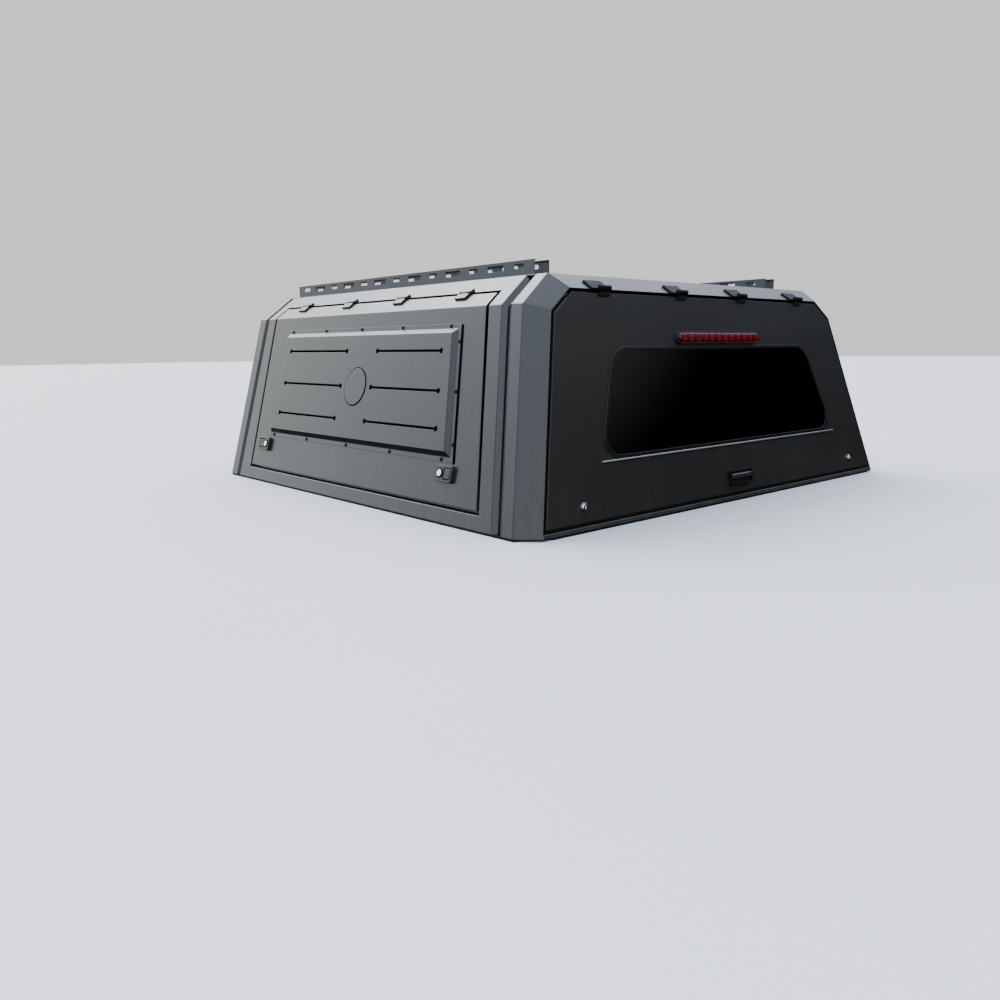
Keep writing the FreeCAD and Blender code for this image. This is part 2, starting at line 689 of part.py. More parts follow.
# Roof
def rail_slots(x0, x1):
    """Row of long and short rounded slots through a rail's webs."""
    z = ROOF_HEIGHT + RAIL_HEIGHT - RAIL_SLOT_DROP
    first = RAIL_REAR_Y + RAIL_SLOT_MARGIN
    pitch = (RAIL_FRONT_Y - RAIL_SLOT_MARGIN - first) / (RAIL_SLOT_COUNT - 1)
    slots = []
    for i in range(RAIL_SLOT_COUNT):
        plate = stadium(RAIL_SHORT_SLOT, RAIL_SHORT_SLOT_HEIGHT, 0, x1 - x0)
        if i % 2:
            corners = [RAIL_SLOT_CORNER] * 4
            plate = rounded_plate(rectangle(RAIL_LONG_SLOT, RAIL_LONG_SLOT_HEIGHT), corners, 0, x1 - x0)
        place = Vector(x0, first + pitch * i, z)
        slots.append(placed(plate, frame(place, Vector(0, 0, 1), Vector(1, 0, 0))))
    return slots


def roof_rail():
    """Left roof rail: a slotted channel, open at the ends and between its two upper lips."""
    x0 = -ROOF_HALF + RAIL_INSET
    x1 = x0 + RAIL_WIDTH
    z0 = ROOF_HEIGHT
    z1 = z0 + RAIL_HEIGHT
    rail = block(x0, x1, RAIL_REAR_Y, RAIL_FRONT_Y, z0, z1)
    hollow = block(x0 + SHEET, x1 - SHEET, RAIL_REAR_Y, RAIL_FRONT_Y, z0 + SHEET, z1 - SHEET)
    mouth = block(x0 + RAIL_LIP, x1 - RAIL_LIP, RAIL_REAR_Y, RAIL_FRONT_Y, z0 + SHEET, z1)
    return solid_of(rail.cut([hollow, mouth] + rail_slots(x0, x1)))


def roof_bows():
    """Top-hat bows under the roof sheet, evenly spaced."""
    top = ROOF_HEIGHT - SHEET
    half = ROOF_HALF - BOW_FLANGE
    bows = []
    for i in range(BOW_COUNT):
        y = ROOF_REAR_Y + (FRONT_Y - ROOF_REAR_Y) * (i + 1) / (BOW_COUNT + 1)
        crown = block(-half, half, y - BOW_WIDTH / 2, y + BOW_WIDTH / 2, top - BOW_DEPTH, top)
        hollow = block(-half, half, y - BOW_WIDTH / 2 + SHEET, y + BOW_WIDTH / 2 - SHEET,
                       top - BOW_DEPTH + SHEET, top)
        flange = block(-half, half, y - BOW_WIDTH / 2 - BOW_FLANGE, y + BOW_WIDTH / 2 + BOW_FLANGE,
                       top - SHEET, top)
        bows.append(crown.fuse(flange).cut(hollow).removeSplitter())
    return Part.makeCompound(bows)


# Leaves of the door and hatch
def leaf_skin(prism, hem_cut):
    """Outer sheet of a door or hatch with its edges folded inwards."""
    sheet = layer(0, SHEET).common(prism(0))
    hem = layer(0, HEM_DEPTH).common(prism(0).cut(prism(-SHEET))).cut(hem_cut)
    return sheet.fuse(hem)


def leaf_stiffener(prism):
    """Hat section that runs round the inside of a leaf."""
    outer, inner = -STIFFENER_INSET, -STIFFENER_INSET - STIFFENER_WIDTH
    body = layer(SHEET, STIFFENER_DEPTH).common(prism(outer).cut(prism(inner)))
    hollow = layer(SHEET, STIFFENER_DEPTH - SHEET).common(prism(outer - SHEET).cut(prism(inner + SHEET)))
    return solid_of(body.cut(hollow))


def leaf_seal(prism):
    """Rubber between a closed leaf and the land behind it."""
    outer, inner = -SEAL_INSET, -SEAL_INSET - SEAL_WIDTH
    return solid_of(layer(SHEET + SEAT_GAP, LAND_DEPTH).common(prism(outer).cut(prism(inner))))


def door_skin():
    """Left door sheet, bent over the shoulder."""
    top = ROOF_HEIGHT - DOOR_TOP_DROP * CHAMFER_UP.z
    hem_cut = block(-BASE_HALF, 0, REAR_Y, FRONT_Y, SHOULDER_HEIGHT, top + EDGE_GAP)
    return solid_of(leaf_skin(door_prism, hem_cut))


def pan_outline(inset):
    """Pan outline in the frame at the door's side face, local X to the rear."""
    rise = 1 / SIDE_UP.z
    bottom, top = PAN_BOTTOM * rise, PAN_TOP * rise
    points = [(-(REAR_Y + PAN_FRONT), bottom), (-(REAR_Y + PAN_REAR + PAN_LEAN * PAN_BOTTOM), bottom),
              (-(REAR_Y + PAN_REAR + PAN_LEAN * PAN_TOP), top), (-(REAR_Y + PAN_FRONT), top)]
    return grown(points, [-inset] * 4)


def lofted(outline, low, next_outline, high):
    """Solid between two flat outlines at two heights."""
    wires = []
    for points, height in ((outline, low), (next_outline, high)):
        corners = [Vector(x, y, height) for x, y in points]
        wires.append(Part.makePolygon(corners + corners[:1]))
    return Part.makeLoft(wires, True, True)


def pan_row(share):
    """Height of a slot row at a share of the pan's height."""
    return PAN_BOTTOM + (PAN_TOP - PAN_BOTTOM) * share


def pan_middle():
    """Distance of the roundel's centre from the base's rear edge."""
    return (PAN_FRONT + PAN_REAR + PAN_LEAN * pan_row(PAN_SLOT_ROWS[1])) / 2 - ROUNDEL_SHIFT


def pan_slots():
    """Dog-bone slots of the pan in two groups, with the round eye at each end."""
    slots = []
    eye = PAN_SLOT_EYE / 2
    raised = PAN_FLANGE + PAN_BEVEL
    for share in PAN_SLOT_ROWS:
        height = pan_row(share)
        front_end = PAN_FRONT - raised - PAN_SLOT_MARGIN
        rear_end = PAN_REAR + PAN_LEAN * height + raised + PAN_SLOT_MARGIN
        middle = pan_middle()
        for first, last in ((middle + PAN_SLOT_GAP / 2, front_end), (rear_end, middle - PAN_SLOT_GAP / 2)):
            low, high = -(REAR_Y + last), -(REAR_Y + first)
            y = height / SIDE_UP.z
            half = PAN_SLOT_WIDTH / 2
            slot = block(low, high, y - half, y + half, 0, 2 * PAN_RISE)
            for x in (low, high):
                slot = slot.fuse(Part.makeCylinder(eye, 2 * PAN_RISE, Vector(x, y, 0)))
            slots.append(slot)
    return slots


def roundel_centre():
    """Centre of the roundel's foot in the pan's frame."""
    return Vector(-(REAR_Y + pan_middle()), pan_row(PAN_SLOT_ROWS[1]) / SIDE_UP.z, PAN_RISE)


def door_pan():
    """Pressed pan screwed to the door: flange, bevels, raised face, slots and plain roundel."""
    raised = PAN_FLANGE + PAN_BEVEL
    flange = lofted(pan_outline(0), 0, pan_outline(0), PAN_SHEET)
    outer = lofted(pan_outline(PAN_FLANGE), 0, pan_outline(raised), PAN_RISE)
    inner = lofted(pan_outline(PAN_FLANGE + 2 * PAN_SHEET), 0, pan_outline(raised + PAN_SHEET),
                   PAN_RISE - PAN_SHEET)
    hollow = inner.fuse(lofted(pan_outline(PAN_FLANGE + 2 * PAN_SHEET), -PAN_SHEET,
                               pan_outline(PAN_FLANGE + 2 * PAN_SHEET), 0))
    pan = flange.fuse(outer).cut(hollow).cut(pan_slots())
    roundel = Part.makeCylinder(ROUNDEL_DIAMETER / 2, ROUNDEL_RISE, roundel_centre())
    return placed(solid_of(pan.fuse(roundel)), on_side(0, 0))


# Hinges
def hinge_leaf(ends, length, radius, thickness, spans, other_spans, bored):
    """One leaf in the pin's frame: local X along the pin, local Y away from it, local Z out."""
    leaf = block(*ends, 0, length, -radius, thickness - radius)
    reach = radius + 2 * KNUCKLE_GAP
    for low, high in other_spans:
        leaf = leaf.cut(block(low - KNUCKLE_GAP, high + KNUCKLE_GAP, -reach, reach, -2 * reach, reach))
    for low, high in spans:
        leaf = leaf.fuse(Part.makeCylinder(radius, high - low, Vector(low, 0, 0), Vector(1, 0, 0)))
    ends = [edge for span in spans + other_spans for edge in span]
    low, high = min(ends), max(ends)
    if bored:
        bore = Part.makeCylinder(PIN_RADIUS + PIN_CLEARANCE, high - low, Vector(low, 0, 0), Vector(1, 0, 0))
        return solid_of(leaf.cut(bore))
    pin = Part.makeCylinder(PIN_RADIUS, high - low, Vector(low, 0, 0), Vector(1, 0, 0))
    return solid_of(leaf.fuse(pin))


def knuckle_spans(width):
    """Outer knuckles of the fixed leaf and the middle one of the moving leaf."""
    third = width / 4
    fixed = [(-width / 2, -third), (third, width / 2)]
    moving = [(-third + KNUCKLE_GAP, third - KNUCKLE_GAP)]
    return fixed, moving


def side_pin():
    """Pin centre line of the left door: over the middle of the gap at its top edge."""
    drop = DOOR_TOP_DROP - EDGE_GAP / 2
    corner = Vector(-ROOF_HALF, 0, ROOF_HEIGHT)
    return corner - CHAMFER_UP * drop + CHAMFER_OUT * SIDE_KNUCKLE_RADIUS


def rear_pin():
    """Pin centre line of the hatch: as far out from the rear face as from the slope."""
    fold = Vector(0, FOLD_REAR_Y, HATCH_FOLD_HEIGHT)
    middle = unit(REAR_OUT + SLOPE_OUT)
    return fold + middle * (REAR_KNUCKLE_RADIUS / middle.dot(REAR_OUT))


def side_hinge_leaves(moving_side):
    """The four leaves on the door, or the four on the header over it."""
    fixed, moving = knuckle_spans(SIDE_HINGE_WIDTH)
    spans, others = (moving, fixed) if moving_side else (fixed, moving)
    half = SIDE_HINGE_WIDTH / 2
    length = SIDE_MOVING_LEAF_LENGTH if moving_side else SIDE_FIXED_LEAF_LENGTH
    sizes = SIDE_KNUCKLE_RADIUS, SIDE_LEAF_THICKNESS
    leaf = hinge_leaf((-half, half), length, *sizes, spans, others, moving_side)
    away = -CHAMFER_UP if moving_side else CHAMFER_UP
    pin = side_pin()
    first = rear_line(DOOR_REAR, pin.z) + SIDE_HINGE_REAR_MARGIN
    last = REAR_Y + DOOR_FRONT + DOOR_FRONT_LEAN * pin.z - SIDE_HINGE_FRONT_MARGIN
    return Part.makeCompound([placed(leaf, frame(pin + Vector(0, first + (last - first) * share, 0), away,
                                                 CHAMFER_OUT)) for share in SIDE_HINGE_SHARES])


def rear_hinge_leaves(moving_side):
    """The four leaves on the hatch, or the four wider ones on the slope over it."""
    fixed, moving = knuckle_spans(REAR_HINGE_WIDTH)
    half = REAR_HINGE_WIDTH / 2
    sizes = REAR_KNUCKLE_RADIUS, REAR_LEAF_THICKNESS
    if moving_side:
        leaf = hinge_leaf((-half, half), REAR_MOVING_LEAF_LENGTH, *sizes, moving, fixed, True)
        away, out = -REAR_UP, REAR_OUT
    else:
        ends = -half - REAR_LEAF_OVERHANG, half
        leaf = hinge_leaf(ends, REAR_FIXED_LEAF_LENGTH, *sizes, fixed, moving, False)
        away, out = SLOPE_UP, SLOPE_OUT
    pin = rear_pin()
    outer = FOLD_HALF - REAR_HINGE_MARGIN
    return Part.makeCompound([placed(leaf, frame(pin + Vector(place, 0, 0), away, out))
                              for place in (-outer, -REAR_HINGE_INNER, REAR_HINGE_INNER, outer)])


# Latches
def latch_parts():
    """Housing, key cylinder and paddle of one latch, paddle towards local +X."""
    half = LATCH_LENGTH / 2
    housing = rounded_plate(rectangle(LATCH_LENGTH, LATCH_WIDTH), [LATCH_CORNER] * 4, 0, LATCH_RISE)
    pocket_end = half - LATCH_WALL
    pocket_start = pocket_end - PADDLE_LENGTH - 2 * PADDLE_CLEARANCE
    across = PADDLE_WIDTH / 2 + PADDLE_CLEARANCE
    housing = housing.cut(block(pocket_start, pocket_end, -across, across, SHEET, 2 * LATCH_RISE))
    key_foot = Vector(-KEY_OFFSET, 0, SHEET)
    housing = housing.cut(Part.makeCylinder(KEY_DIAMETER / 2 + PIN_CLEARANCE, LATCH_RISE, key_foot))
    key = Part.makeCylinder(KEY_DIAMETER / 2, LATCH_RISE - SHEET + KEY_RISE, key_foot)
    pin_x = pocket_start + PADDLE_CLEARANCE + PADDLE_THICKNESS / 2
    pin_z = LATCH_RISE - PADDLE_THICKNESS / 2
    pin_start = Vector(pin_x, -across, pin_z)
    housing = housing.fuse(Part.makeCylinder(PADDLE_PIN_RADIUS, 2 * across, pin_start, Vector(0, 1, 0)))
    paddle_end = pin_x - PADDLE_THICKNESS / 2 + PADDLE_LENGTH
    paddle = block(pin_x, paddle_end, -PADDLE_WIDTH / 2, PADDLE_WIDTH / 2,
                   LATCH_RISE - PADDLE_THICKNESS, LATCH_RISE)
    barrel = Part.makeCylinder(PADDLE_THICKNESS / 2 + PIN_CLEARANCE, PADDLE_WIDTH,
                               Vector(pin_x, -PADDLE_WIDTH / 2, pin_z), Vector(0, 1, 0))
    bore = Part.makeCylinder(PADDLE_PIN_RADIUS + PIN_CLEARANCE, PADDLE_WIDTH,
                             Vector(pin_x, -PADDLE_WIDTH / 2, pin_z), Vector(0, 1, 0))
    paddle = paddle.fuse(barrel).cut(bore)
    return solid_of(housing), key, solid_of(paddle), Vector(pin_x, 0, pin_z)


def latch_places():
    """Frames of the rear and front latch; the front one is turned round."""
    turned = Placement(Vector(0, 0, 0), Rotation(Vector(0, 0, 1), 180))
    rear = on_side(REAR_Y + DOOR_REAR + LATCH_REAR_MARGIN, LATCH_HEIGHT)
    front = on_side(REAR_Y + DOOR_FRONT - LATCH_FRONT_MARGIN, LATCH_HEIGHT).multiply(turned)
    return {"rear": rear, "front": front}


# Hatch
def hatch_skin():
    """Hatch sheet with its window opening. Its top edge is left plain, under the hinges."""
    hem_top = HATCH_FOLD_HEIGHT - EDGE_GAP - 2 * SHEET
    hem_cut = block(-BASE_HALF, BASE_HALF, REAR_Y, 0, hem_top - EDGE_GAP, ROOF_HEIGHT)
    opening = placed(window_piece(window_outline, 0, -FAR / 4, FAR / 4), on_rear(0, 0))
    return solid_of(leaf_skin(hatch_prism, hem_cut).cut(opening))


def window_ledge():
    """Drip strip on the hatch under the window."""
    y = WINDOW_BOTTOM - RUBBER_LIP - LEDGE_HEIGHT / 2
    half = WINDOW_BOTTOM_HALF + LEDGE_OVERHANG
    strip = block(-half, half, y - LEDGE_HEIGHT / 2, y + LEDGE_HEIGHT / 2, 0, LEDGE_RISE)
    return placed(strip, on_rear(0, 0))


def lamp_outline(inset):
    """Corners and corner radii of the lamp, smaller all round by an inset."""
    return rectangle(LAMP_LENGTH - 2 * inset, LAMP_WIDTH - 2 * inset), [LAMP_WIDTH / 2 - inset - SEAT_GAP] * 4


def brake_lamp():
    """Black lamp base and the red lens in it."""
    points, radii = lamp_outline(0)
    base = rounded_plate(points, radii, 0, LAMP_RISE / 2)
    points, radii = lamp_outline(LAMP_BEZEL)
    base = base.cut(rounded_plate(points, radii, LAMP_RISE / 4, LAMP_RISE))
    lens = rounded_plate(points, radii, LAMP_RISE / 4, LAMP_RISE)
    lens = lens.makeFillet(LAMP_RISE / 6, [edge for edge in lens.Edges
                                           if edge.BoundBox.ZMin > LAMP_RISE - SEAT_GAP])
    place = on_rear(0, 0).multiply(Placement(Vector(0, WINDOW_TOP + LAMP_OVER_WINDOW, 0), Rotation()))
    return placed(base, place), placed(lens, place)


def hatch_handle():
    """Recessed cup and the pull lever hinged along its upper edge."""
    half_l, half_w = HANDLE_LENGTH / 2, HANDLE_WIDTH / 2
    wall = 2 * SHEET
    cup = rounded_plate(rectangle(HANDLE_LENGTH, HANDLE_WIDTH), [wall] * 4, 0, HANDLE_RISE)
    cup = cup.cut(block(-half_l + wall, half_l - wall, -half_w + wall, half_w - wall, SHEET, 2 * HANDLE_RISE))
    half_thick = PADDLE_THICKNESS / 2
    pin = Vector(0, half_w - wall - PADDLE_CLEARANCE - half_thick, HANDLE_RISE - half_thick)
    reach = half_l - wall
    rod = Part.makeCylinder(PADDLE_PIN_RADIUS, 2 * reach, pin - Vector(reach, 0, 0), Vector(1, 0, 0))
    width = reach - PADDLE_CLEARANCE
    lever = block(-width, width, pin.y - HANDLE_LEVER_WIDTH, pin.y,
                  HANDLE_RISE - PADDLE_THICKNESS, HANDLE_RISE)
    barrel = Part.makeCylinder(half_thick + PIN_CLEARANCE, 2 * width,
                               pin - Vector(width, 0, 0), Vector(1, 0, 0))
    bore = Part.makeCylinder(PADDLE_PIN_RADIUS + PIN_CLEARANCE, 2 * width,
                             pin - Vector(width, 0, 0), Vector(1, 0, 0))
    place = on_rear(0, 0).multiply(Placement(Vector(0, HANDLE_CENTRE, 0), Rotation()))
    lever = lever.fuse(barrel).cut(bore)
    return placed(solid_of(cup.fuse(rod)), place), placed(solid_of(lever), place), place.multVec(pin)


def hatch_locks():
    """Round key locks low on both sides of the hatch."""
    collar = Part.makeCylinder(HATCH_LOCK_DIAMETER / 2, 2 * SHEET)
    lock = collar.fuse(Part.makeCylinder(HATCH_LOCK_BARREL / 2, 3 * SHEET))
    lock = lock.cut(block(-SHEET / 2, SHEET / 2, -HATCH_LOCK_BARREL / 4, HATCH_LOCK_BARREL / 4,
                          2 * SHEET, 4 * SHEET))
    half = CORNER_REAR_HALF - HATCH_LOCK_MARGIN
    return Part.makeCompound([placed(lock, on_rear(x, HATCH_LOCK_HEIGHT)) for x in (-half, half)])


def export(name, shape):
    """Write one piece to its own STEP file."""
    shape.exportStep(os.path.join("parts", name + ".step"))
    print(name, len(shape.Solids), "solid(s), valid", shape.isValid(), "volume", round(shape.Volume))


def both_sides(name, shape):
    """Write a left piece and its mirror image."""
    export("left_" + name, shape)
    export("right_" + name, mirrored(shape))


def main():
    os.makedirs("parts", exist_ok=True)
    export("roof_panel", roof_panel())
    export("roof_bows", roof_bows())
    export("rear_header", rear_header())
    export("rear_sill", rear_sill())
    export("front_panel", front_panel())
    export("front_window_rubber", placed(window_rubber(front_window_outline), FRONT_FRAME))
    export("front_window", placed(glass_pane(front_window_outline), FRONT_FRAME))
    export("front_base_rail", front_base_rail())
    export("base_seal", base_seal())
    both_sides("rear_corner", rear_corner())
    both_sides("side_frame", side_sheet())
    both_sides("front_corner", front_corner())
    both_sides("base_rail", base_rail())
    both_sides("roof_rail", roof_rail())
    both_sides("door_seal", leaf_seal(door_prism))
    both_sides("fixed_hinges", side_hinge_leaves(False))
    both_sides("door_skin", door_skin())
    both_sides("door_stiffener", leaf_stiffener(door_prism))
    both_sides("door_pan", door_pan())
    both_sides("door_hinges", side_hinge_leaves(True))
    housing, key, paddle, pin = latch_parts()
    places = latch_places()
    both_sides("latch_housings", Part.makeCompound([placed(housing, place) for place in places.values()]))
    both_sides("key_cylinders", Part.makeCompound([placed(key, place) for place in places.values()]))
    for end, place in places.items():
        both_sides(end + "_latch_paddle", placed(paddle, place))
        print(end, "paddle pin", place.multVec(pin), place.Rotation.multVec(Vector(0, 1, 0)))
    export("hatch_seal", leaf_seal(hatch_prism))
    export("hatch_fixed_hinges", rear_hinge_leaves(False))
    export("hatch_skin", hatch_skin())
    export("hatch_stiffener", leaf_stiffener(hatch_prism))
    export("hatch_hinges", rear_hinge_leaves(True))
    export("hatch_window_rubber", placed(window_rubber(window_outline), on_rear(0, 0)))
    export("hatch_window", placed(glass_pane(window_outline), on_rear(0, 0)))
    export("hatch_window_ledge", window_ledge())
    lamp_base, lamp_lens = brake_lamp()
    export("brake_lamp_base", lamp_base)
    export("brake_lamp_lens", lamp_lens)
    cup, lever, lever_pin = hatch_handle()
    export("hatch_handle_cup", cup)
    export("hatch_handle_lever", lever)
    export("hatch_locks", hatch_locks())
    print("side pin", side_pin(), "rear pin", rear_pin(), "lever pin", lever_pin)


main()
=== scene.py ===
"""Looks of a pickup truck canopy: its finishes, fasteners, brake lamp and studio."""

import json
import math

import bmesh
import bpy
import numpy as np
from bpy.props import FloatProperty, FloatVectorProperty, IntProperty, PointerProperty
from mathutils import Matrix, Vector


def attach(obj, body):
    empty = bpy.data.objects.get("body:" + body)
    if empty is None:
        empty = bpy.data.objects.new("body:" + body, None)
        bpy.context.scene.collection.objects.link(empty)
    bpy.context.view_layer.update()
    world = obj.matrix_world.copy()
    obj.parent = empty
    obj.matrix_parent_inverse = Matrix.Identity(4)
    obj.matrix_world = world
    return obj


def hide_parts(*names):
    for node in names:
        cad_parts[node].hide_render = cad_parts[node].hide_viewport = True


bl_info = {
    "name": "Pickup truck canopy",
    "version": (1, 0, 0),
    "blender": (4, 5, 0),
    "location": "View3D > Sidebar > Canopy",
    "description": "Finishes, fasteners, brake lamp and studio of a sheet-metal pickup canopy",
    "category": "Object",
}

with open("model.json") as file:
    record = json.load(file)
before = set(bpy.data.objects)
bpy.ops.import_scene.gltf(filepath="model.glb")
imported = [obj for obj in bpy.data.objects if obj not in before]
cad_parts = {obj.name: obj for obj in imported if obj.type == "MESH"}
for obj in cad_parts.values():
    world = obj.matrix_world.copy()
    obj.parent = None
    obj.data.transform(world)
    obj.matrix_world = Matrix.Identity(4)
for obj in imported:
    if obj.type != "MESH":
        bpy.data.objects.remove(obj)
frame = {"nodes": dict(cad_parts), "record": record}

# All lengths are metres. X is to the right, Y ahead and Z up from the middle of the base. A rise is
# measured out of the face that a piece sits on, and a distance ahead from the base's rear edge.

# Shell
SIDES = {"left": -1, "right": 1}
REAR_EDGE = -0.780
BASE_HALF = 0.845
SHOULDER_HALF = 0.702
SHOULDER_HEIGHT = 0.545
HATCH_FOLD_HEIGHT = 0.583
HATCH_LEAN = 0.124
SIDE_SLOPE = (BASE_HALF - SHOULDER_HALF) / SHOULDER_HEIGHT
REAR_SLOPE = HATCH_LEAN / HATCH_FOLD_HEIGHT

# Rounded folds: radii by kind of piece, and how a mesh is cleaned and weighed for them
RAIL_FOLD = 0.0005
FINE_FOLD = 0.0006
HINGE_FOLD = 0.0008
CASTING_FOLD = 0.0012
RUBBER_FOLD = 0.0014
FOLD_SEGMENTS = 3
FOLD_SHARE = 0.4
SHARP_TURN = math.radians(25)
FLAT_TURN = math.radians(0.5)
WELD_DISTANCE = 2e-6

# Keys of the side doors and lever of the hatch, with its section across in millimetres
KEY_YS = (-0.428, 0.544)
KEY_HEIGHT = 0.125
COLLAR_RADII = (0.0124, 0.0122, 0.0118, 0.0094, 0.0092)
COLLAR_RISES = (0.0099, 0.0119, 0.0123, 0.0123, 0.0100)
LEVER_HALF = 0.0465
LEVER_HEIGHT = 0.067
LEVER_SECTION = ((-2.5, 8.0), (-2.5, 11.4), (-1.9, 12.0), (7.6, 12.0), (8.3, 11.75), (12.3, 8.7),
                 (12.5, 8.4), (12.2, 8.0))

# Door pans: the lean of their rear edge, trim and screws. The trim's black bead and black sheet are
# painted shade.
PAN_LEAN = 0.193
# Painted shadow: a black bead down each pan's rear edge stands for the shadow line of its flange.
BEAD_AHEAD = 0.285
BEAD_HEIGHTS = (0.150, 0.500)
BEAD_HALF = 0.0042
BEAD_RISE = 0.0030
# Painted shade: a black sheet just under each pan's face makes its slots and eyes read dark.
SHADE_SHEET_REAR = 0.317
SHADE_SHEET_FRONT = 1.302
SHADE_SHEET_HEIGHTS = (0.180, 0.475)
SHADE_SHEET_RISE = 0.0085
ROUNDEL_Y = 0.0455
ROUNDEL_HEIGHT = 0.327
RING_RADII = (0.0548, 0.0551, 0.0565, 0.0579, 0.0582)
RING_RISES = (0.0119, 0.0128, 0.0132, 0.0128, 0.0119)
FLANGE_RISE = 0.0015
TOP_SCREWS = (1.292, 1.075, 0.863, 0.648, 0.427)
TOP_SCREW_HEIGHT = 0.496
BOTTOM_SCREWS = (1.293, 1.071, 0.834, 0.603, 0.366)
BOTTOM_SCREW_HEIGHT = 0.159
REAR_SCREWS = [(0.379, 0.456), (0.357, 0.329), (0.329, 0.198)]

# Brake lamp
LAMP_HEIGHT = 0.472
LENS_HALF = 0.196
LENS_WIDTH = 0.0126
LENS_FOOT = 0.0036
LENS_TOP = 0.0140
LENS_EDGE = 0.005
LENS_RIM = 0.002
LENS_STEP = 0.001
BOWL_MARGIN = 0.004
BOWL_GAP = 0.001
BOWL_LIFT = 0.0002
BOWL_DEPTH = 0.006
FLUTE_PITCH = 0.0026
REFLECTOR = (0.7, 0.45, 0.45)

# Background: setting, colour and middle of each panel, and the cosines where it begins and is full
PANELS = (
    ("front_light", (0.98, 1.0, 0.97), (0, 0.862, 0.507), 0.3, 0.95),
    ("high_light", (0.98, 1.0, 1.0), (0.08, 0.76, 0.645), 0.85, 0.98),
    ("top_light", (0.86, 0.97, 1.25), (0, 0, 1), 0.25, 0.9),
    ("right_light", (0.86, 0.95, 1.18), (0.85, 0.1, 0.52), 0.82, 0.97),
    ("left_light", (0.5, 0.9, 1.6), (-1, 0, 0.2), 0.2, 0.9),
    ("near_light", (1.0, 1.01, 0.85), (-0.5, -0.85, 0.1), 0.5, 0.95),
    ("rear_light", (1.0, 1.0, 0.96), (0.55, -0.70, 0.46), 0.92, 0.99),
)
BEHIND_CAB = ("front_light", "high_light")
CAB_MIDDLE = (0.3, 0.93, 0.25)
CAB_START = 0.94
CAB_FULL = 0.98
CAB_SHADE = 0.85
BELOW_COLOUR = (1.0, 1.0, 0.8)
HORIZON_START = -0.2
HORIZON_FULL = 0.04

# Camera and floor
CAMERA_PLACE = (-2.1064, -2.1574, 0.4393)
CAMERA_HEADING = 0.7351
CAMERA_DIP = -0.1489
CAMERA_ROLL = -0.0086
CAMERA_SHIFT_X = -0.02125
CAMERA_SHIFT_Y = -0.02409
SENSOR_WIDTH = 36.0
FLOOR_REACH = 30.0


# Places on the canopy

def placement(origin, along, up, out):
    """Matrix with the three given directions as its axes."""
    matrix = Matrix((along, up, out)).transposed().to_4x4()
    matrix.translation = origin
    return matrix


def side_frame(side, y, z):
    """Matrix at a point of a side face: X along the canopy, Y up the face and Z out of it."""
    up = Vector((-side * SIDE_SLOPE, 0, 1)).normalized()
    along = Vector((0, side, 0))
    origin = Vector((side * (BASE_HALF - SIDE_SLOPE * z), y, z))
    return placement(origin, along, up, along.cross(up))


def side_spot(side, ahead, z, lean=PAN_LEAN):
    """X and Y of a point in side_frame(side, 0, 0), on a line that leans ahead with its height."""
    return side * (REAR_EDGE + ahead + lean * z), z * math.hypot(1, SIDE_SLOPE)


def hatch_frame(height):
    """Matrix at the middle of the hatch's face, at a height measured up the face."""
    up = Vector((0, REAR_SLOPE, 1)).normalized()
    along = Vector((1, 0, 0))
    return placement(Vector((0, REAR_EDGE, 0)) + up * height, along, up, along.cross(up))


# Meshes

def grid_faces(rows, columns, closed):
    """Quads of a grid of points; a closed grid joins its last column to its first."""
    spans = columns if closed else columns - 1
    row, column = np.meshgrid(np.arange(rows - 1), np.arange(spans), indexing="ij")
    after = (column + 1) % columns
    corners = (row * columns + column, row * columns + after, (row + 1) * columns + after,
               (row + 1) * columns + column)
    return np.stack([corner.ravel() for corner in corners], axis=1)


def mesh_from_arrays(name, points, faces, smooth=True):
    """Mesh object at the origin from an array of points and an array of faces."""
    mesh = bpy.data.meshes.new(name)
    mesh.from_pydata(points.tolist(), [], faces.tolist())
    mesh.polygons.foreach_set("use_smooth", np.full(len(mesh.polygons), smooth))
    mesh.validate()
    mesh.update()
    piece = bpy.data.objects.new(name, mesh)
    bpy.context.scene.collection.objects.link(piece)
    return piece


def add_piece(name, shape, places, material, body, smooth=True):
    """Copies a shape, its points and faces, to each place, as one piece on a body."""
    points, faces = shape
    turned = [points @ np.array(place.to_3x3()).T + np.array(place.translation) for place in places]
    shifted = [faces + len(points) * number for number in range(len(places))]
    piece = mesh_from_arrays(name, np.concatenate(turned), np.concatenate(shifted), smooth)
    piece.data.materials.append(material)
    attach(piece, body)
    return piece


def turned_profile(radii, rises, columns):
    """Surface of revolution: each row is a circle of the profile's radius at its rise."""
    angle = np.linspace(0, 2 * math.pi, columns, endpoint=False)
    radius, turn = np.meshgrid(radii, angle, indexing="ij")
    height = np.repeat(np.asarray(rises, float)[:, None], columns, axis=1)
    points = np.stack([radius * np.cos(turn), radius * np.sin(turn), height], axis=-1)
    return points.reshape(-1, 3), grid_faces(len(radii), columns, True)


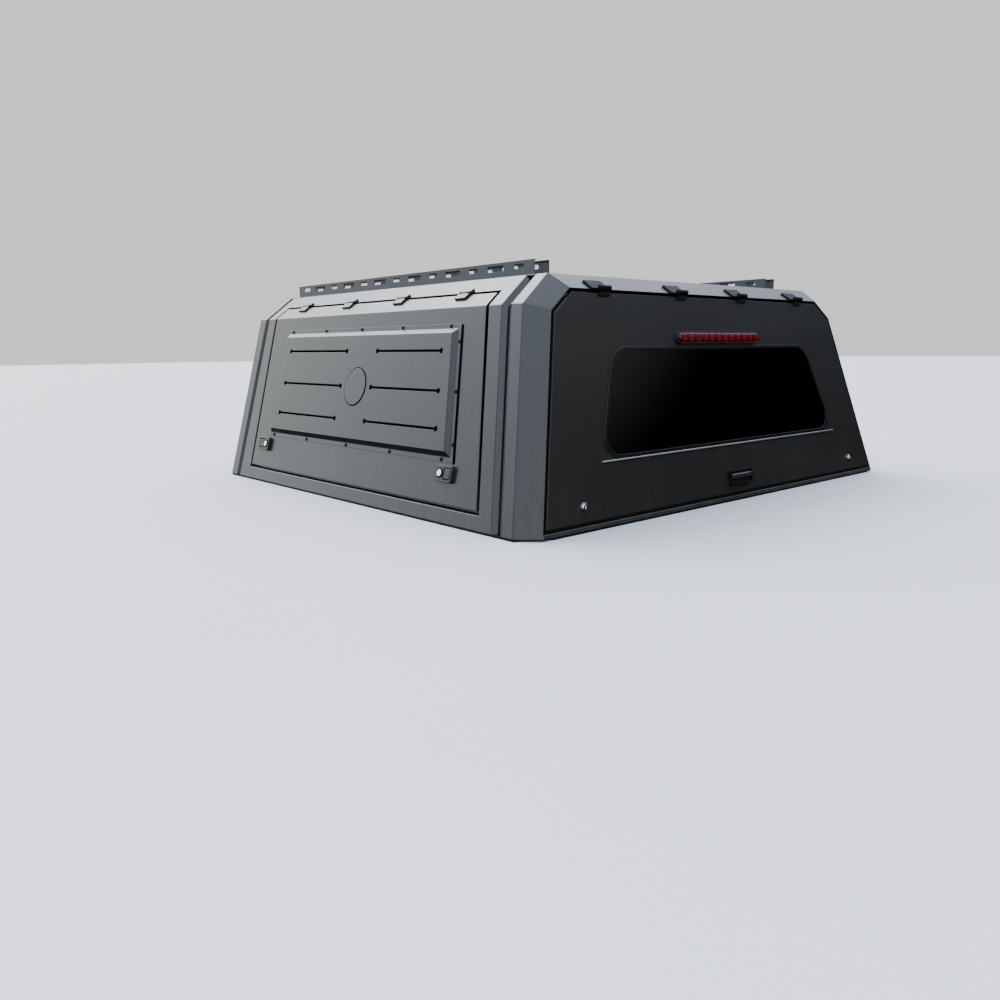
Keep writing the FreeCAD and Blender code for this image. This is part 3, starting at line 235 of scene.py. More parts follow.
def screw_head(radius, rise):
    """Domed head with a cross recess.

    At a distance r from the middle the height is a fifth of the rise, plus four fifths of it times
    the square root of one less (r / radius) squared. It falls by half the rise where a point lies
    within a fifth of the radius of either axis and inside three fifths of the radius. The outer
    ring goes down to the foot.
    """
    columns = 32
    rings = np.concatenate([[0.0], np.linspace(0.12, 0.62, 6), np.linspace(0.7, 1.0, 5)]) * radius
    angle = np.linspace(0, 2 * math.pi, columns, endpoint=False)
    ring, turn = np.meshgrid(rings, angle, indexing="ij")
    x, y = ring * np.cos(turn), ring * np.sin(turn)
    height = rise * np.sqrt(np.clip(1 - (ring / radius) ** 2, 0, 1)) * 0.8 + rise * 0.2
    cross = np.minimum(np.abs(x), np.abs(y)) < 0.2 * radius
    height = np.where(cross & (ring < 0.6 * radius), height - rise * 0.5, height)
    height[-1] = 0.0
    points = np.stack([x, y, height], axis=-1).reshape(-1, 3)
    return points, grid_faces(len(rings), columns, True)


def lever_grip():
    """Closed bar along X whose upper outer edge is sloped back; each ring is its section."""
    section = np.array(LEVER_SECTION) / 1000
    middle = np.broadcast_to(section.mean(axis=0), section.shape)
    rings = [np.column_stack([np.full(len(section), x), ring])
             for x, ring in ((-LEVER_HALF, middle), (-LEVER_HALF, section),
                             (LEVER_HALF, section), (LEVER_HALF, middle))]
    return np.concatenate(rings), grid_faces(4, len(section), True)


def half_round_bead(first, last, half, rise):
    """Half-round bead in a plane between two points.

    At a share s of its length and a turn t from 0 to pi, a point lies half cos t across and rise
    sin t up, both times the square root of one less ((the distance past a rounded end) / half)
    squared.
    """
    first, last = np.array(first), np.array(last)
    length = np.linalg.norm(last - first)
    along = (last - first) / length
    across = np.array([-along[1], along[0]])
    turn = np.linspace(0, math.pi, 11)
    ends = half * (1 - np.cos(np.linspace(0, math.pi / 2, 6)))
    run = np.concatenate([ends, length - ends[::-1]])
    past = np.clip(np.abs(run - length / 2) - (length / 2 - half), 0, half)
    shrink = np.sqrt(np.clip(1 - (past / half) ** 2, 0, 1))[:, None]
    flat = first + run[:, None, None] * along + (half * shrink * np.cos(turn))[..., None] * across
    up = (rise * shrink * np.sin(turn))[..., None]
    points = np.concatenate([flat, up], axis=-1).reshape(-1, 3)
    return points, grid_faces(len(run), len(turn), False)


def lamp_bowls(cells, half, width, foot, depth):
    """Strip of round bowls in a row.

    A point at x sits in cell floor(x / pitch). With c as its offset from the cell's middle over
    half a pitch, and v from -1 to 1 across the strip, its height is the foot plus half the depth
    times the sum of c squared and v squared.
    """
    pitch = 2 * half / cells
    columns, rows = cells * 12 + 1, 13
    x, v = np.meshgrid(np.linspace(-half, half, columns), np.linspace(-1, 1, rows), indexing="ij")
    cell = np.minimum(np.floor((x + half) / pitch), cells - 1)
    offset = (x + half - (cell + 0.5) * pitch) / (pitch / 2)
    height = foot + depth * (offset ** 2 + v ** 2) / 2
    past = np.clip((np.abs(x) - half + width) / width, 0, 1)
    reach = np.sqrt(np.clip(1 - past ** 2, 0, 1))
    points = np.stack([x, v * width * reach, height], axis=-1).reshape(-1, 3)
    return points, grid_faces(columns, rows, False)[:, ::-1]


def lamp_lens(half, width, foot, top):
    """Closed rounded cover over a stadium.

    Around the stadium a point lies at its middle line plus r times its direction. From the foot to
    the top the radius falls from the width by a quarter circle near the top edge, and the middle
    is closed flat.
    """
    angle = np.linspace(0, 2 * math.pi, 64, endpoint=False)
    direction = np.stack([np.cos(angle), np.sin(angle)], axis=-1)
    centre = np.where(direction[:, :1] >= 0, 1.0, -1.0) * np.array([[half - width, 0.0]])
    bend = np.linspace(0, math.pi / 2, 9)
    radii = np.concatenate([[0.0, width - LENS_RIM, width, width],
                            width - LENS_EDGE + LENS_EDGE * np.cos(bend), [0.0]])
    heights = np.concatenate([[foot, foot, foot, foot + LENS_STEP],
                              top - LENS_EDGE + LENS_EDGE * np.sin(bend), [top]])
    rings = [np.concatenate([centre + direction * radius, np.full((len(angle), 1), height)], axis=1)
             for radius, height in zip(radii, heights)]
    return np.concatenate(rings), grid_faces(len(radii), len(angle), True)


# Copies of the CAD's sheets with rounded folds

def weigh_folds(work, radius):
    """Marks each fold with the share of the radius that it takes, less beside a thin rim.

    The room at an edge is the smaller of the reaches of its two faces away from it, and two fifths
    of the room is the most that the rounding takes.
    """
    share = work.edges.layers.float.new("bevel_weight_edge")
    for edge in work.edges:
        if len(edge.link_faces) != 2 or edge.calc_face_angle(0) < SHARP_TURN:
            continue
        start = edge.verts[0].co
        along = (edge.verts[1].co - start).normalized()
        room = min(max((corner.co - start).cross(along).length for corner in face.verts)
                   for face in edge.link_faces)
        edge[share] = min(1.0, FOLD_SHARE * room / radius)


def folded_copy(node, name, radius, material):
    """Copy of a sheet whose sharp folds are rounded; it stands for the node on the same body."""
    source = frame["nodes"][node]
    mesh = source.data.copy()
    mesh.name = name
    mesh.transform(source.matrix_world)
    work = bmesh.new()
    work.from_mesh(mesh)
    bmesh.ops.remove_doubles(work, verts=work.verts, dist=WELD_DISTANCE)
    bmesh.ops.dissolve_limit(work, angle_limit=FLAT_TURN, verts=work.verts, edges=work.edges)
    weigh_folds(work, radius)
    work.to_mesh(mesh)
    work.free()
    mesh.shade_smooth()
    mesh.materials.clear()
    mesh.materials.append(material)
    piece = bpy.data.objects.new(name, mesh)
    bpy.context.scene.collection.objects.link(piece)
    fold = piece.modifiers.new("fold", "BEVEL")
    fold.width = radius
    fold.segments = FOLD_SEGMENTS
    fold.limit_method = "WEIGHT"
    fold.use_clamp_overlap = False
    flat = piece.modifiers.new("flat", "WEIGHTED_NORMAL")
    flat.weight = 100
    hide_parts(node)
    return piece


def body_with(node):
    """Name of the body that carries a node."""
    bodies = frame["record"]["behaviour"]["bodies"]
    return next(name for name, nodes in bodies.items() if node in nodes)


def fold_nodes(nodes, radius, material):
    """Rounds the folds of several sheets and puts each on its body."""
    for node in nodes:
        piece = folded_copy(node, node + "_folded", radius, material)
        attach(piece, body_with(node))


def dress(nodes, material):
    """Gives CAD nodes a material in all their slots."""
    for node in nodes:
        for place in frame["nodes"][node].material_slots:
            place.material = material


# Shader node groups

class Nodes:
    """Short way to add and join the nodes of one tree."""

    def __init__(self, tree):
        self.tree = tree

    def add(self, kind, values=None, **settings):
        """New node with its settings, and with values or links for its inputs by name or number."""
        node = self.tree.nodes.new(kind)
        for key, value in settings.items():
            setattr(node, key, value)
        for key, value in (values or {}).items():
            self.join(value, node.inputs[key])
        return node

    def join(self, value, socket):
        """Links a socket, or sets a plain value."""
        if isinstance(value, bpy.types.NodeSocket):
            self.tree.links.new(value, socket)
        else:
            socket.default_value = value

    def math(self, operation, first, second=0.0):
        """Result of a maths node."""
        return self.add("ShaderNodeMath", {0: first, 1: second}, operation=operation).outputs[0]

    def blend(self, factor, first, second):
        """Colour between two colours."""
        node = self.add("ShaderNodeMix", {"Factor": factor}, data_type="RGBA")
        self.join(first, node.inputs[6])
        self.join(second, node.inputs[7])
        return node.outputs[2]

    def remap(self, value, low, high, to_low, to_high):
        """Value moved from one range to another and kept inside it."""
        return self.add("ShaderNodeMapRange", {"Value": value, "From Min": low, "From Max": high,
                                               "To Min": to_low, "To Max": to_high}).outputs[0]

    def noise(self, place, scale, detail):
        """Value of a noise texture."""
        return self.add("ShaderNodeTexNoise", {"Vector": place, "Scale": scale,
                                               "Detail": detail}).outputs["Fac"]

    def scaled(self, vector, factor):
        """Vector or colour times a value."""
        node = self.add("ShaderNodeVectorMath", {0: vector}, operation="SCALE")
        self.join(factor, node.inputs["Scale"])
        return node.outputs[0]

    def bump(self, height, strength, depth):
        """Normal of a relief of some depth."""
        return self.add("ShaderNodeBump", {"Height": height, "Strength": strength,
                                           "Distance": depth}).outputs[0]

    def object_place(self):
        """Place on the canopy in metres."""
        return self.add("ShaderNodeTexCoord").outputs["Object"]


def new_group(name, inputs, outputs):
    """Empty node group with its sockets: each input is (name, type, default)."""
    group = bpy.data.node_groups.new(name, "ShaderNodeTree")
    for label, kind, default in inputs:
        socket = group.interface.new_socket(name=label, in_out="INPUT", socket_type=kind)
        socket.default_value = default
    for label, kind in outputs:
        group.interface.new_socket(name=label, in_out="OUTPUT", socket_type=kind)
    nodes = Nodes(group)
    return group, nodes, nodes.add("NodeGroupInput").outputs, nodes.add("NodeGroupOutput").inputs


def grain_group():
    """Fine relief of a powder coat: small rounded grains over a broader orange peel."""
    group, nodes, given, out = new_group(
        "Coat grain",
        [("Grain Size", "NodeSocketFloat", 0.0012), ("Peel Share", "NodeSocketFloat", 0.4)],
        [("Height", "NodeSocketFloat")])
    place = nodes.object_place()
    scale = nodes.math("DIVIDE", 1.0, given["Grain Size"])
    grains = nodes.add("ShaderNodeTexVoronoi", {"Vector": place, "Scale": scale, "Smoothness": 0.6},
                       feature="SMOOTH_F1").outputs["Distance"]
    peel = nodes.noise(place, scale=nodes.math("MULTIPLY", scale, 0.3), detail=2.0)
    mixed = nodes.add("ShaderNodeMix", {"Factor": given["Peel Share"], "A": grains, "B": peel})
    nodes.join(mixed.outputs[0], out["Height"])
    return group


def weather_group():
    """Dust and faint clouding of a painted sheet, with soft streaks that run down it.

    The dust thins out from the foot to a height of 0.22 and keeps a quarter above it. It follows
    streaks that are stretched upright, and specks break it up. The clouding shifts the paint's
    brightness and, a quarter as much, its roughness.
    """
    group, nodes, given, out = new_group(
        "Weathered paint",
        [("Paint", "NodeSocketColor", (0.05, 0.05, 0.05, 1)),
         ("Dust", "NodeSocketColor", (0.3, 0.28, 0.25, 1)),
         ("Dust Amount", "NodeSocketFloat", 0.1), ("Clouding", "NodeSocketFloat", 0.1),
         ("Roughness", "NodeSocketFloat", 0.4)],
        [("Color", "NodeSocketColor"), ("Roughness", "NodeSocketFloat")])
    place = nodes.object_place()
    stretched = nodes.add("ShaderNodeMapping", {"Vector": place, "Scale": (38.0, 38.0, 2.2)})
    cloud = nodes.noise(place, scale=3.5, detail=4.0)
    streak = nodes.noise(stretched.outputs[0], scale=1.0, detail=3.0)
    speck = nodes.noise(place, scale=160.0, detail=3.0)
    height = nodes.add("ShaderNodeSeparateXYZ", {"Vector": place}).outputs["Z"]
    low = nodes.remap(height, 0.0, 0.22, 1.0, 0.25)
    mask = nodes.math("MULTIPLY", nodes.remap(streak, 0.4, 0.75, 0.25, 1.0), low)
    mask = nodes.math("MULTIPLY", mask, nodes.remap(speck, 0.35, 0.7, 0.5, 1.2))
    mask = nodes.math("MULTIPLY", mask, given["Dust Amount"])
    shade = nodes.remap(cloud, 0.3, 0.7, -1.0, 1.0)
    bright = nodes.math("ADD", 1.0, nodes.math("MULTIPLY", shade, given["Clouding"]))
    clouded = nodes.scaled(given["Paint"], bright)
    nodes.join(nodes.blend(mask, clouded, given["Dust"]), out["Color"])
    rough = nodes.math("ADD", given["Roughness"], nodes.math("MULTIPLY", mask, 0.5))
    uneven = nodes.math("MULTIPLY", shade, nodes.math("MULTIPLY", given["Clouding"], 0.25))
    nodes.join(nodes.math("ADD", rough, uneven), out["Roughness"])
    return group


def brushed_group():
    """Fine scratches along X for drawn or turned metal."""
    group, nodes, given, out = new_group(
        "Brushed metal",
        [("Line Size", "NodeSocketFloat", 0.0004), ("Roughness", "NodeSocketFloat", 0.25)],
        [("Height", "NodeSocketFloat"), ("Roughness", "NodeSocketFloat")])
    place = nodes.add("ShaderNodeMapping", {"Vector": nodes.object_place(),
                                            "Scale": (0.03, 1.0, 1.0)}).outputs[0]
    scale = nodes.math("DIVIDE", 1.0, given["Line Size"])
    line = nodes.noise(place, scale=scale, detail=2.0)
    nodes.join(line, out["Height"])
    uneven = nodes.remap(line, 0.3, 0.7, -0.06, 0.06)
    nodes.join(nodes.math("ADD", given["Roughness"], uneven), out["Roughness"])
    return group


def use_group(nodes, name, maker, values):
    """Outputs of a node that holds the group of a name, made at its first use."""
    group = bpy.data.node_groups.get(name) or maker()
    node = nodes.add("ShaderNodeGroup", node_tree=group)
    for key, value in values.items():
        nodes.join(value, node.inputs[key])
    return node.outputs


# Materials

def new_material(name):
    """Empty material with a Principled BSDF joined to its output."""
    material = bpy.data.materials.new(name)
    material.use_nodes = True
    material.node_tree.nodes.clear()
    nodes = Nodes(material.node_tree)
    shader = nodes.add("ShaderNodeBsdfPrincipled")
    nodes.add("ShaderNodeOutputMaterial", {"Surface": shader.outputs[0]})
    return material, nodes, shader


def coated(name, colour, roughness, grain, depth, dust, specular=0.5, coat=0.0, clouding=None,
           peel=0.4, strength=1.0):
    """Weathered colour over grains of a given size; the material is made at its first use."""
    found = bpy.data.materials.get(name)
    if found:
        return found
    paint = bpy.context.scene.canopy_paint
    material, nodes, shader = new_material(name)
    look = use_group(nodes, "Weathered paint", weather_group, {
        "Paint": (*colour, 1.0), "Dust": (*paint.dust, 1.0),
        "Dust Amount": dust * paint.dust_amount,
        "Clouding": paint.clouding if clouding is None else clouding, "Roughness": roughness})
    relief = use_group(nodes, "Coat grain", grain_group, {"Grain Size": grain, "Peel Share": peel})
    nodes.join(look["Color"], shader.inputs["Base Color"])
    nodes.join(look["Roughness"], shader.inputs["Roughness"])
    nodes.join(nodes.bump(relief["Height"], strength, depth), shader.inputs["Normal"])
    shader.inputs["Specular IOR Level"].default_value = specular
    shader.inputs["Coat Weight"].default_value = coat
    shader.inputs["Coat Roughness"].default_value = 0.25
    return material


def sheet_coat():
    """Satin black coat of the shell and the side doors."""
    paint = bpy.context.scene.canopy_paint
    return coated("sheet_coat", paint.sheet, roughness=paint.sheet_roughness,
                  grain=paint.grain_size, depth=0.00003, dust=1.0)


def hatch_shaded_coat():
    """Coat of the hatch: the sheets' black paint made darker, with less dust and sheen, as painted
    shade.
    """
    paint = bpy.context.scene.canopy_paint
    return coated("hatch_shaded_coat", paint.hatch, roughness=paint.sheet_roughness + 0.03,
                  grain=paint.grain_size, depth=0.00003, dust=0.4, specular=0.4)


def rail_coat():
    """Coarser grey-black coat of the roof rails."""
    paint = bpy.context.scene.canopy_paint
    return coated("rail_coat", paint.rail, roughness=0.5, grain=paint.grain_size * 1.6,
                  depth=0.00008, dust=0.8)


def casting_coat():
    """Black coat of the latches and the brake lamp's base."""
    paint = bpy.context.scene.canopy_paint
    return coated("casting_coat", paint.casting, roughness=0.42, grain=paint.grain_size * 0.8,
                  depth=0.00004, dust=0.4)


def grip_coat():
    """Glossy black of the hatch's lever."""
    paint = bpy.context.scene.canopy_paint
    return coated("grip_coat", paint.casting, roughness=0.3, grain=paint.grain_size,
                  depth=0.00002, dust=0.4, specular=0.8, coat=0.8)


def hinge_coat():
    """Black coat of the doors' hinge leaves."""
    paint = bpy.context.scene.canopy_paint
    return coated("hinge_coat", paint.hinge, roughness=0.36, grain=paint.grain_size * 0.8,
                  depth=0.00003, dust=0.4)


def matt_coat():
    """Dull black of the hatch's hinges, its handle cup and screws, which hardly mirrors the sky."""
    paint = bpy.context.scene.canopy_paint
    return coated("matt_coat", paint.matt, roughness=0.55, grain=paint.grain_size * 0.8,
                  depth=0.00003, dust=0.1, specular=0.12)


def seam_and_shade_black():
    """Black with no sheen: painted shade in the beads down the pans' rear edges and the sheets
    behind the slots, and the black of the rings and collars.
    """
    paint = bpy.context.scene.canopy_paint
    return coated("seam_and_shade_black", paint.seam, roughness=0.7, grain=0.001, depth=0.00002, dust=0.0,
                  specular=0.0)


def seal_rubber():
    """Matt black moulded rubber with a fine skin."""
    paint = bpy.context.scene.canopy_paint
    return coated("seal_rubber", paint.rubber, roughness=0.62, grain=0.0006, depth=0.00004,
                  dust=0.3, specular=0.15, clouding=0.25, peel=0.7, strength=0.6)


def window_rubber():
    """Smooth black rubber round the windows, which shines along its edges."""
    paint = bpy.context.scene.canopy_paint
    return coated("window_rubber", paint.rubber, roughness=0.22, grain=0.0006, depth=0.00001,
                  dust=0.2, specular=0.35, coat=0.15)


def tinted_glass():
    """Very dark glass with a faint film that dulls it in patches."""
    found = bpy.data.materials.get("tinted_pane")
    if found:
        return found
    paint = bpy.context.scene.canopy_paint
    material, nodes, shader = new_material("tinted_pane")
    film = nodes.noise(nodes.object_place(), scale=5.0, detail=4.0)
    nodes.join(nodes.remap(film, 0.35, 0.7, 0.02, 0.07), shader.inputs["Roughness"])
    nodes.join((*paint.glass, 1.0), shader.inputs["Base Color"])
    shader.inputs["Transmission Weight"].default_value = 0.92
    shader.inputs["IOR"].default_value = 1.5
    return material


def metal(name, colour, roughness):
    """Bright turned or drawn metal."""
    found = bpy.data.materials.get(name)
    if found:
        return found
    material, nodes, shader = new_material(name)
    relief = use_group(nodes, "Brushed metal", brushed_group, {"Roughness": roughness})
    nodes.join(relief["Roughness"], shader.inputs["Roughness"])
    normal = nodes.bump(relief["Height"], strength=0.3, depth=0.00002)
    nodes.join(normal, shader.inputs["Normal"])
    shader.inputs["Base Color"].default_value = (*colour, 1.0)
    shader.inputs["Metallic"].default_value = 1.0
    return material


def lens_plastic():
    """Clear dark red plastic with fine flutes across the lamp."""
    found = bpy.data.materials.get("lens_plastic")
    if found:
        return found
    paint = bpy.context.scene.canopy_paint
    material, nodes, shader = new_material("lens_plastic")
    across = nodes.add("ShaderNodeSeparateXYZ", {"Vector": nodes.object_place()}).outputs["X"]
    flutes = nodes.math("SINE", nodes.math("MULTIPLY", across, 2 * math.pi / FLUTE_PITCH))
    nodes.join(nodes.bump(flutes, strength=0.35, depth=0.0001), shader.inputs["Normal"])
    shader.inputs["Base Color"].default_value = (*paint.lens, 1.0)
    shader.inputs["Roughness"].default_value = 0.06
    shader.inputs["Transmission Weight"].default_value = 0.9
    shader.inputs["IOR"].default_value = 1.49
    return material


def floor_paint():
    """Pale matt floor with a very faint mottling."""
    material, nodes, shader = new_material("studio_floor")
    floor = Vector(bpy.context.scene.canopy_studio.floor)
    mottle = nodes.noise(nodes.object_place(), scale=1.5, detail=3.0)
    tone = nodes.blend(mottle, (*(floor * 0.97), 1.0), (*(floor * 1.03), 1.0))
    nodes.join(tone, shader.inputs["Base Color"])
    shader.inputs["Roughness"].default_value = 0.7
    shader.inputs["Specular IOR Level"].default_value = 0.2
    return material


# Settings

class CanopyPaint(bpy.types.PropertyGroup):
    """Colours and surface values of the finishes."""
    sheet: FloatVectorProperty(
        name="Sheets", description="Coat of the shell and the doors", subtype="COLOR", size=3,
        min=0, max=1, default=(0.013, 0.0137, 0.014))
    # Painted shade: the hatch's colour is the sheets' paint made darker.
    hatch: FloatVectorProperty(
        name="Hatch", description="Coat of the hatch", subtype="COLOR", size=3,
        min=0, max=1, default=(0.0120, 0.0121, 0.0120))
    rail: FloatVectorProperty(
        name="Roof rails", description="Coat of the roof rails", subtype="COLOR", size=3,
        min=0, max=1, default=(0.040, 0.043, 0.045))
    casting: FloatVectorProperty(
        name="Castings", description="Coat of the latches, the lever and the lamp's base",
        subtype="COLOR", size=3, min=0, max=1, default=(0.016, 0.016, 0.017))
    hinge: FloatVectorProperty(
        name="Hinges", description="Coat of the doors' hinge leaves", subtype="COLOR", size=3,
        min=0, max=1, default=(0.020, 0.021, 0.022))
    matt: FloatVectorProperty(
        name="Matt black", description="Hatch hinges, handle cup and screws", subtype="COLOR",
        size=3, min=0, max=1, default=(0.006, 0.006, 0.0065))
    # Painted shade: the beads and the sheets behind the slots stand for shadow; the rings and
    # collars are black.
    seam: FloatVectorProperty(
        name="Seams", description="Beads, rings, collars and the dark behind slots",
        subtype="COLOR", size=3, min=0, max=1, default=(0.003, 0.003, 0.0033))
    rubber: FloatVectorProperty(
        name="Rubber", description="Seals and window rubbers", subtype="COLOR", size=3,
        min=0, max=1, default=(0.005, 0.005, 0.005))
    glass: FloatVectorProperty(
        name="Glass", description="Tint of the windows", subtype="COLOR", size=3,
        min=0, max=1, default=(0.002, 0.002, 0.0025))
    lens: FloatVectorProperty(
        name="Lamp lens", description="Red of the brake lamp", subtype="COLOR", size=3,
        min=0, max=1, default=(0.20, 0.004, 0.012))
    key: FloatVectorProperty(
        name="Keys", description="Metal of the key cylinders", subtype="COLOR", size=3,
        min=0, max=1, default=(0.86, 0.86, 0.84))
    strip: FloatVectorProperty(
        name="Drip strip", description="Metal of the strip under the window", subtype="COLOR",
        size=3, min=0, max=1, default=(0.72, 0.73, 0.74))
    dust: FloatVectorProperty(
        name="Dust", description="Colour of dust and dried water marks", subtype="COLOR", size=3,
        min=0, max=1, default=(0.26, 0.25, 0.23))
    dust_amount: FloatProperty(
        name="Dust amount", description="Share of dust on the sheets", subtype="FACTOR",
        min=0, max=1, default=0.10)
    clouding: FloatProperty(
        name="Clouding", description="Unevenness of the coat's tone", subtype="FACTOR",
        min=0, max=1, default=0.10)
    sheet_roughness: FloatProperty(
        name="Sheet roughness", description="How matt the sheets are", subtype="FACTOR",
        min=0, max=1, default=0.31)
    grain_size: FloatProperty(
        name="Grain size", description="Size of the grains in the coat", unit="LENGTH",
        min=0.0002, max=0.01, default=0.0011)


class CanopySizes(bpy.types.PropertyGroup):
    """Sizes of the small pieces."""
    fold_radius: FloatProperty(
        name="Fold radius", description="Rounding of the sheets' edges", unit="LENGTH",
        min=0.0001, max=0.005, default=0.0020)
    screw_radius: FloatProperty(
        name="Screw radius", description="Half the width of a screw head", unit="LENGTH",
        min=0.001, max=0.02, default=0.0055)
    screw_rise: FloatProperty(
        name="Screw rise", description="Height of a screw head", unit="LENGTH",
        min=0.0005, max=0.01, default=0.0030)
    lamp_cells: IntProperty(
        name="Lamp cells", description="Number of bowls in the brake lamp",
        min=2, max=40, default=12)


class CanopyStudio(bpy.types.PropertyGroup):
    """Floor, light and camera."""
    floor: FloatVectorProperty(
        name="Floor", description="Colour of the floor", subtype="COLOR", size=3,
        min=0, max=1, default=(0.62, 0.62, 0.62))
    focal_length: FloatProperty(
        name="Focal length", description="Lens in millimetres on a 36 mm sensor",
        min=5, max=300, default=30.799)
    backdrop: FloatVectorProperty(
        name="Backdrop", description="Colour seen behind the canopy", subtype="COLOR", size=3,
        min=0, max=4, default=(0.95, 0.95, 0.95))
    front_light: FloatProperty(
        name="Front light", description="Broad light ahead of the canopy and above it",
        min=0, max=20, default=2.45)
    high_light: FloatProperty(
        name="High light", description="Narrower light inside the front one",
        min=0, max=20, default=6.5)
    top_light: FloatProperty(
        name="Top light", description="Light from overhead", min=0, max=20, default=1.8)
    right_light: FloatProperty(
        name="Right light", description="Light high at the right", min=0, max=20, default=0.9)
    left_light: FloatProperty(
        name="Left light", description="Light from the left", min=0, max=20, default=0.45)
    near_light: FloatProperty(
        name="Near light", description="Low light behind the camera", min=0, max=20, default=1.5)
    rear_light: FloatProperty(
        name="Rear light", description="Faint light behind the hatch", min=0, max=20, default=0.6)
    below_light: FloatProperty(
        name="Light from below", description="Light off the floor", min=0, max=20, default=0.045)


# Operators

class CANOPY_OT_sheets(bpy.types.Operator):
    """Round the folds of the shell, the doors and the hatch and coat them"""
    bl_idname = "canopy.sheets"
    bl_label = "Sheets"

    def execute(self, context):
        radius = context.scene.canopy_sizes.fold_radius
        shell = ["roof_panel", "rear_header", "rear_sill", "front_panel"]
        inner = ["roof_bows", "front_base_rail"]
        for side in SIDES:
            shell += [side + part for part in ("_rear_corner", "_side_frame", "_front_corner",
                                               "_door_skin")]
            inner += [side + part for part in ("_base_rail", "_door_stiffener")]
        fold_nodes(shell, radius, sheet_coat())
        # The hatch's darker coat is painted shade.
        fold_nodes(["hatch_skin"], radius, hatch_shaded_coat())
        dress(inner, sheet_coat())
        dress(["hatch_stiffener"], hatch_shaded_coat())
        return {"FINISHED"}


class CANOPY_OT_pans(bpy.types.Operator):
    """Round the edges of the pressed door pans and coat them"""
    bl_idname = "canopy.pans"
    bl_label = "Door pans"

    def execute(self, context):
        radius = context.scene.canopy_sizes.fold_radius
        fold_nodes([side + "_door_pan" for side in SIDES], radius, sheet_coat())
        return {"FINISHED"}


class CANOPY_OT_roof_rails(bpy.types.Operator):
    """Round the edges of the roof rails and coat them"""
    bl_idname = "canopy.roof_rails"
    bl_label = "Roof rails"

    def execute(self, context):
        fold_nodes([side + "_roof_rail" for side in SIDES], RAIL_FOLD, rail_coat())
        return {"FINISHED"}


class CANOPY_OT_hinges(bpy.types.Operator):
    """Round the edges of all hinge leaves and coat them"""
    bl_idname = "canopy.hinges"
    bl_label = "Hinges"

    def execute(self, context):
        fold_nodes(["hatch_fixed_hinges", "hatch_hinges"], HINGE_FOLD, matt_coat())
        for side in SIDES:
            fold_nodes([side + "_fixed_hinges", side + "_door_hinges"], HINGE_FOLD, hinge_coat())
        return {"FINISHED"}


class CANOPY_OT_latches(bpy.types.Operator):
    """Coat the latches, keys and handle, put a collar round each door key and shape the lever"""
    bl_idname = "canopy.latches"
    bl_label = "Latches and locks"

    def execute(self, context):
        castings, keys = [], ["hatch_locks"]
        for side in SIDES:
            castings += [side + part for part in ("_latch_housings", "_rear_latch_paddle",
                                                  "_front_latch_paddle")]
            keys.append(side + "_key_cylinders")
        fold_nodes(castings, CASTING_FOLD, casting_coat())
        fold_nodes(["hatch_handle_cup"], FINE_FOLD, matt_coat())
        paint = context.scene.canopy_paint
        fold_nodes(keys, FINE_FOLD, metal("key_metal", paint.key, roughness=0.22))
        lever = "hatch_handle_lever"
        grip = add_piece("hatch_handle_grip", lever_grip(), [hatch_frame(LEVER_HEIGHT)],
                         grip_coat(), body_with(lever), smooth=False)
        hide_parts(lever)
        collar = turned_profile(COLLAR_RADII, COLLAR_RISES, columns=40)
        for name, side in SIDES.items():
            places = [side_frame(side, y, KEY_HEIGHT) for y in KEY_YS]
            add_piece(name + "_key_collars", collar, places, seam_and_shade_black(),
                      name + "_door")
        return {"FINISHED"}


class CANOPY_OT_windows(bpy.types.Operator):
    """Give the windows their tinted glass and rubbers, and the hatch its drip strip"""
    bl_idname = "canopy.windows"
    bl_label = "Windows"

    def execute(self, context):
        dress(["hatch_window", "front_window"], tinted_glass())
        fold_nodes(["hatch_window_rubber", "front_window_rubber"], RUBBER_FOLD, window_rubber())
        strip = metal("drip_strip", context.scene.canopy_paint.strip, roughness=0.35)
        fold_nodes(["hatch_window_ledge"], HINGE_FOLD, strip)
        return {"FINISHED"}


class CANOPY_OT_seals(bpy.types.Operator):
    """Give the base rubber and the door and hatch seals their rubber"""
    bl_idname = "canopy.seals"
    bl_label = "Seals"

    def execute(self, context):
        dress(["base_seal", "left_door_seal", "right_door_seal", "hatch_seal"], seal_rubber())
        return {"FINISHED"}


class CANOPY_OT_pan_trim(bpy.types.Operator):
    """Trim each pan: a ring round its roundel, and painted shade as a black bead down its rear edge
    and a black sheet behind
    """
    bl_idname = "canopy.pan_trim"
    bl_label = "Pan trim"

    def execute(self, context):
        ring = turned_profile(RING_RADII, RING_RISES, columns=96)
        low, high = SHADE_SHEET_HEIGHTS
        for name, side in SIDES.items():
            foot, head = (side_spot(side, BEAD_AHEAD, z) for z in BEAD_HEIGHTS)
            # The bead paints the shadow line along the flange's rear edge black.
            bead = half_round_bead(foot, head, BEAD_HALF, BEAD_RISE)
            # The sheet under the pan's face paints the shade behind the slots black.
            corners = [side_spot(side, SHADE_SHEET_REAR, low), side_spot(side, SHADE_SHEET_REAR, high),
                       side_spot(side, SHADE_SHEET_FRONT, high, 0),
                       side_spot(side, SHADE_SHEET_FRONT, low, 0)]
            shade_sheet = (np.array([(x, y, SHADE_SHEET_RISE) for x, y in corners]),
                       np.array([[0, 1, 2, 3]]))
            face = side_frame(side, 0, 0)
            roundel = side_frame(side, ROUNDEL_Y, ROUNDEL_HEIGHT)
            for part, shape, place in (("bead", bead, face), ("ring", ring, roundel),
                                       ("shade_sheet", shade_sheet, face)):
                add_piece(name + "_pan_" + part, shape, [place], seam_and_shade_black(),
                          name + "_door", smooth=part != "shade_sheet")
        return {"FINISHED"}


